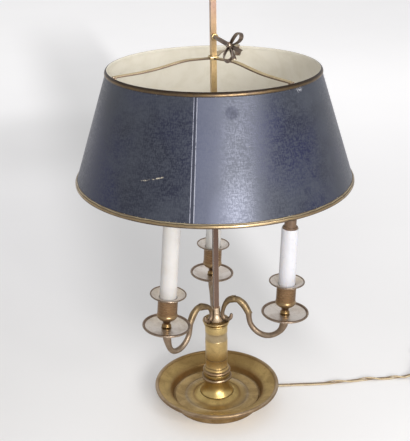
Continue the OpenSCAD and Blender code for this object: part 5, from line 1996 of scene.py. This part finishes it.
@dataclass
class ThumbScrew:
    """The thumb screw: a threaded shank and a head tied like a ribbon bow.

    Attributes:
        line: The place whose Z axis is the screw's line.
        reach: The knot's distance from the axis.
        radius: Radius of the shank.
        loop: Length of a loop.
        ribbon: Width of the ribbon.
        thick: Thickness of the ribbon.
        spread: Angle of a loop off the screw's line.
        turn: How far the bow is turned about the screw.
        roll: How far each loop is turned about its own length.
        end: Length of a loose end.
        ends: Turn and tilt of the loose ends.
    """

    line: Matrix
    reach: float = 71.0
    radius: float = 3.0
    loop: float = 27.0
    ribbon: float = 6.5
    thick: float = 1.3
    spread: float = 46.0
    turn: float = 60.0
    roll: Spot = (28.0, -45.0)
    end: float = 21.0
    ends: tuple[Spot, Spot] = ((-92.0, 36.0), (-138.0, 66.0))

    def shank(self) -> Piece:
        """Returns the shank: a point in the sleeve, fine threads, a plain part and a collar."""
        full, root = self.radius, self.radius - 0.25
        line = [(1.9, 3.9), (root, 4.6)]
        for k in range(16):
            line += [(root, 4.8 + k), (full, 5.15 + k), (root, 5.5 + k)]
        line += [(full, 20.6), (full, 62.0), (full - 0.2, 62.3), (full - 0.2, 62.8), (full, 63.1),
                 (full, 64.4), (full + 0.9, 65.8), (full + 0.9, 66.8)]
        return crisp(turned("long_shank", line, 32), 0.0, 34)

    def ribbon_loop(self) -> Piece:
        """Returns one loop of ribbon along +X: it leaves the knot and comes back to it."""
        fat = self.loop * 0.3
        rows = []
        for k in range(29):
            a = math.tau * k / 28
            rows.append((self.loop * (1 - math.cos(a)) / 2 * 0.975,
                         (fat - self.thick / 2) * math.sin(a) * max(math.sin(a / 2), 0.0) ** 1.3,
                         self.thick * 0.9, self.ribbon * (0.62 + 0.38 * math.sin(a / 2) ** 0.6)))
        loop = drawn("loop", rows, Section.BAR, 6)
        picked(loop, lambda at, _: abs(at.y) < 1.1 * MM)
        bpy.ops.transform.shrink_fatten(value=0.00018)
        switch("OBJECT")
        return loop

    def loose_end(self, wave: float) -> Piece:
        """Returns a loose end along +X, waved, widening and cut with a swallow's tail.

        Args:
            wave: Height of its wave.
        """
        rows = []
        for k in range(13):
            t = k / 12
            rows.append((1.0 + (self.end - 1.0) * t, wave * math.sin(math.pi * 1.6 * t) * t,
                         self.thick * 0.85, self.ribbon * (0.66 + 0.34 * t)))
        end = drawn("end", rows, Section.BAR, 6)
        tip = max(v.co.x for v in end.data.vertices)
        for vertex in end.data.vertices:
            if vertex.co.x > tip - 0.0012:
                vertex.co.x -= 0.0034 * (1 - min(abs(vertex.co.y) / (self.ribbon / 2 * MM), 1.0))
        return end

    def bow(self) -> Piece:
        """Returns the head: two loops, two loose ends and the knot round them."""
        seat = self.line @ shifted(0, 0, self.reach) @ spun("Z", 90 + self.turn)
        parts = []
        for side, roll in zip((1, -1), self.roll):
            place = seat @ spun("Y", side * self.spread - 90) @ spun("X", roll)
            parts.append(set_down(self.ribbon_loop(), place))
        for (about, tilted), wave in zip(self.ends, (0.9, -0.8)):
            place = seat @ spun("Z", about) @ spun("Y", tilted - 90)
            parts.append(set_down(self.loose_end(wave), place))
        knot = turned("knot", [(2.6, -4.2), (3.7, -3.5), (4.2, -2.2), (3.9, -0.8), (4.2, 0.6), (4.1, 2.4),
                               (3.5, 3.6), (2.4, 4.2)], 28)
        parts.append(set_down(knot, seat))
        return crisp(joined("ribbon_bow", parts), 0.12, 40)

    def build(self) -> None:
        """Makes the shank and the bow and dresses them."""
        bronze = Metal.SCREW.made("screw_bronze")
        shank = set_down(self.shank(), self.line)
        fitted(shank, "thumb_screw", "screw_bronze", "screw_shank", bronze)
        fitted(self.bow(), "thumb_screw", "screw_bronze", "screw_bow", bronze)


# ---- switch and plug


@dataclass
class CordSwitch:
    """The switch on the flex: a two-part housing with grip ribs, and the rocker.

    Attributes:
        at: The housing's near end, in millimetres.
        long: Its length.
        wide: Its width.
        high: Its height.
        tilt: The rocker's tilt at rest, in degrees.
    """

    at: Spot = (336.0, 57.6)
    long: float = 58.0
    wide: float = 24.0
    high: float = 16.0
    tilt: float = 8.0

    def housing(self) -> Piece:
        """Returns the housing: rounded ends, broken edges, a parting groove, ribs and a well."""
        x, y = self.at
        half = self.wide / 2
        body = block("housing", (x, y - half, 0.0), (x + self.long, y + half, self.high))
        for upright, width, steps in ((True, 7.0, 8), (False, 1.5, 3)):
            cleared(body, "EDGE")
            corners = body.data.vertices
            for edge in body.data.edges:
                a, b = (corners[i].co for i in edge.vertices)
                if upright:
                    edge.select = abs(a.z - b.z) > 0.5 * self.high * MM
                else:
                    outer = a.z < 1e-5 or a.z > (self.high - 0.01) * MM
                    edge.select = outer and abs(a.z - b.z) < 1e-6
            switch("EDIT")
            bpy.ops.mesh.bevel(offset=width * MM, segments=steps)
            switch("OBJECT")
        middle, top, parting = x + self.long / 2, self.high, self.high / 2
        cut_by(body, block("well", (middle - 9.5, y - 5.0, top - 10.5), (middle + 9.5, y + 5.0, top + 5)))
        parts = [body]
        for near in (middle + side * (14.5 + 2.6 * k) for side in (-1, 1) for k in range(4)):
            parts.append(block("rib", (near - 0.6, y - 8.0, top - 0.6), (near + 0.6, y + 8.0, top)))
        housing = crisp(joined("switch_housing", parts), 0.2, 34)
        for low, high in ((-half - 1, -half + 0.35), (half - 0.35, half + 1)):
            cut_by(housing, block("groove", (x - 1, y + low, parting - 0.25),
                                  (x + self.long + 1, y + high, parting + 0.25)))
        return crisp(housing, 0.0, 34)

    def rocker(self) -> Piece:
        """Returns the rocker: a shallow V of two pads on its pin, with a bar for on and a ring for off."""
        half = ((8.4, 2.2, 6.4), (5.0, 1.3, 6.9), (2.5, 0.45, 7.9), (0.0, 0.05, 7.1))
        line = [(-x, z, tall, 9.0) for x, z, tall in half]
        line += [(x, z, tall, 9.0) for x, z, tall in reversed(half[:-1])]
        body = drawn("body", line, Section.BAR, 2)
        bar = block("bar", (4.6, -1.6, 4.4), (5.3, 1.6, 5.0))
        ring = turned("ring", [(1.3, 4.3), (1.9, 4.3), (1.9, 4.9), (1.3, 4.9), (1.3, 4.3)], 24, closed=True)
        set_down(ring, shifted(-5, 0, 0))
        pin = set_down(turned("pin", [(1.2, -6.5), (1.2, 6.5)], 24), spun("X", 90))
        rocker = crisp(joined("rocker_pads", [body, bar, ring, pin]), 0.2, 34)
        place = shifted(self.at[0] + self.long / 2, self.at[1], self.high - 4.5)
        return set_down(rocker, place @ spun("Y", -self.tilt))

    def build(self, dark: Material, cream: Material) -> tuple[Piece, Piece]:
        """Makes and dresses the housing and the rocker.

        Args:
            dark: Finish of the housing.
            cream: Finish of the rocker.

        Returns:
            The housing and the rocker.
        """
        return (fitted(self.housing(), "lamp", "dark_plastic", "switch_body", dark),
                fitted(self.rocker(), "rocker", "rocker_plastic", "switch_rocker", cream))


@dataclass
class Plug:
    """The moulded plug that lies flat: a tapered ribbed neck and a grip that widens to its face.

    Attributes:
        at: Where the flex goes into the neck, in millimetres.
        thick: The grip's thickness, twice the height of its middle line.
    """

    at: Spot = (398.0, 124.0)
    thick: float = 14.0

    def grip(self) -> Piece:
        """Returns the neck and the grip, drawn out from the flex to the face."""
        neck = ((0.0, 7.2), (1.4, 8.0), (2.0, 7.4), (3.0, 7.5), (3.4, 8.6), (4.4, 8.8), (5.0, 8.2),
                (6.0, 8.4), (6.6, 9.6), (8.0, 9.9))
        body = ((12.0, 11.4, 15.6), (16.0, 12.8, 21.4), (18.7, 13.9, 25.6), (21.0, 14.0, 26.0),
                (33.0, 14.0, 26.0), (33.7, 13.4, 25.4), (34.0, 12.4, 24.4))
        rows = [*((x, wide, wide) for x, wide in neck), *body]
        line = [(-x, self.thick / 2, tall, wide) for x, tall, wide in rows]
        grip = drawn("plug_grip", line, Section.ROUND, 40)
        picked(grip, lambda at, way: abs(way.y) < 0.55 and -0.032 < at.x < -0.0215)
        bpy.ops.mesh.inset(thickness=0.0012, depth=-0.0005)
        switch("OBJECT")
        return set_down(crisp(grip, 0.15, 34), shifted(*self.at, 0))

    def build(self, dark: Material) -> Piece:
        """Makes and dresses the plug, and returns it."""
        return fitted(self.grip(), "lamp", "dark_plastic", "plug_body", dark)


def main() -> None:
    """Builds the studio and the lamp, piece by piece, and gives each its finish."""
    logging.basicConfig(level=logging.INFO, format="%(message)s")
    Studio().build()
    dark = Moulded(tint(52, 40, 34), tint(78, 64, 54)).make("dark_plastic")
    cream = Moulded(tint(214, 204, 180), tint(232, 226, 208)).make("rocker_plastic")
    steel = Metal.STEEL.made("steel")
    housing, rocker = CordSwitch().build(dark, cream)
    plug = Plug().build(dark)
    tie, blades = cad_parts["cord_tie"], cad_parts["plug_blades"]
    TwinFlex().build(BUSHING, [housing, rocker, tie, plug, blades])
    Base().build()
    Column().build()
    brass = Metal.ARM.made("arm_brass")
    for seat in SEATS:
        Arm(seat).build(brass)
        dress(steel, f"nipple_{seat.side}")
    CandleFittings().build()
    Shade().build()
    carrier = Carrier()
    carrier.build()
    ThumbScrew(carrier.screw_line()).build()
    dress(steel, "lock_washer", "threaded_tube", "plug_blades")
    dress(dark, "cord_bushing", "cord_tie")


if __name__ == "__main__":
    main()
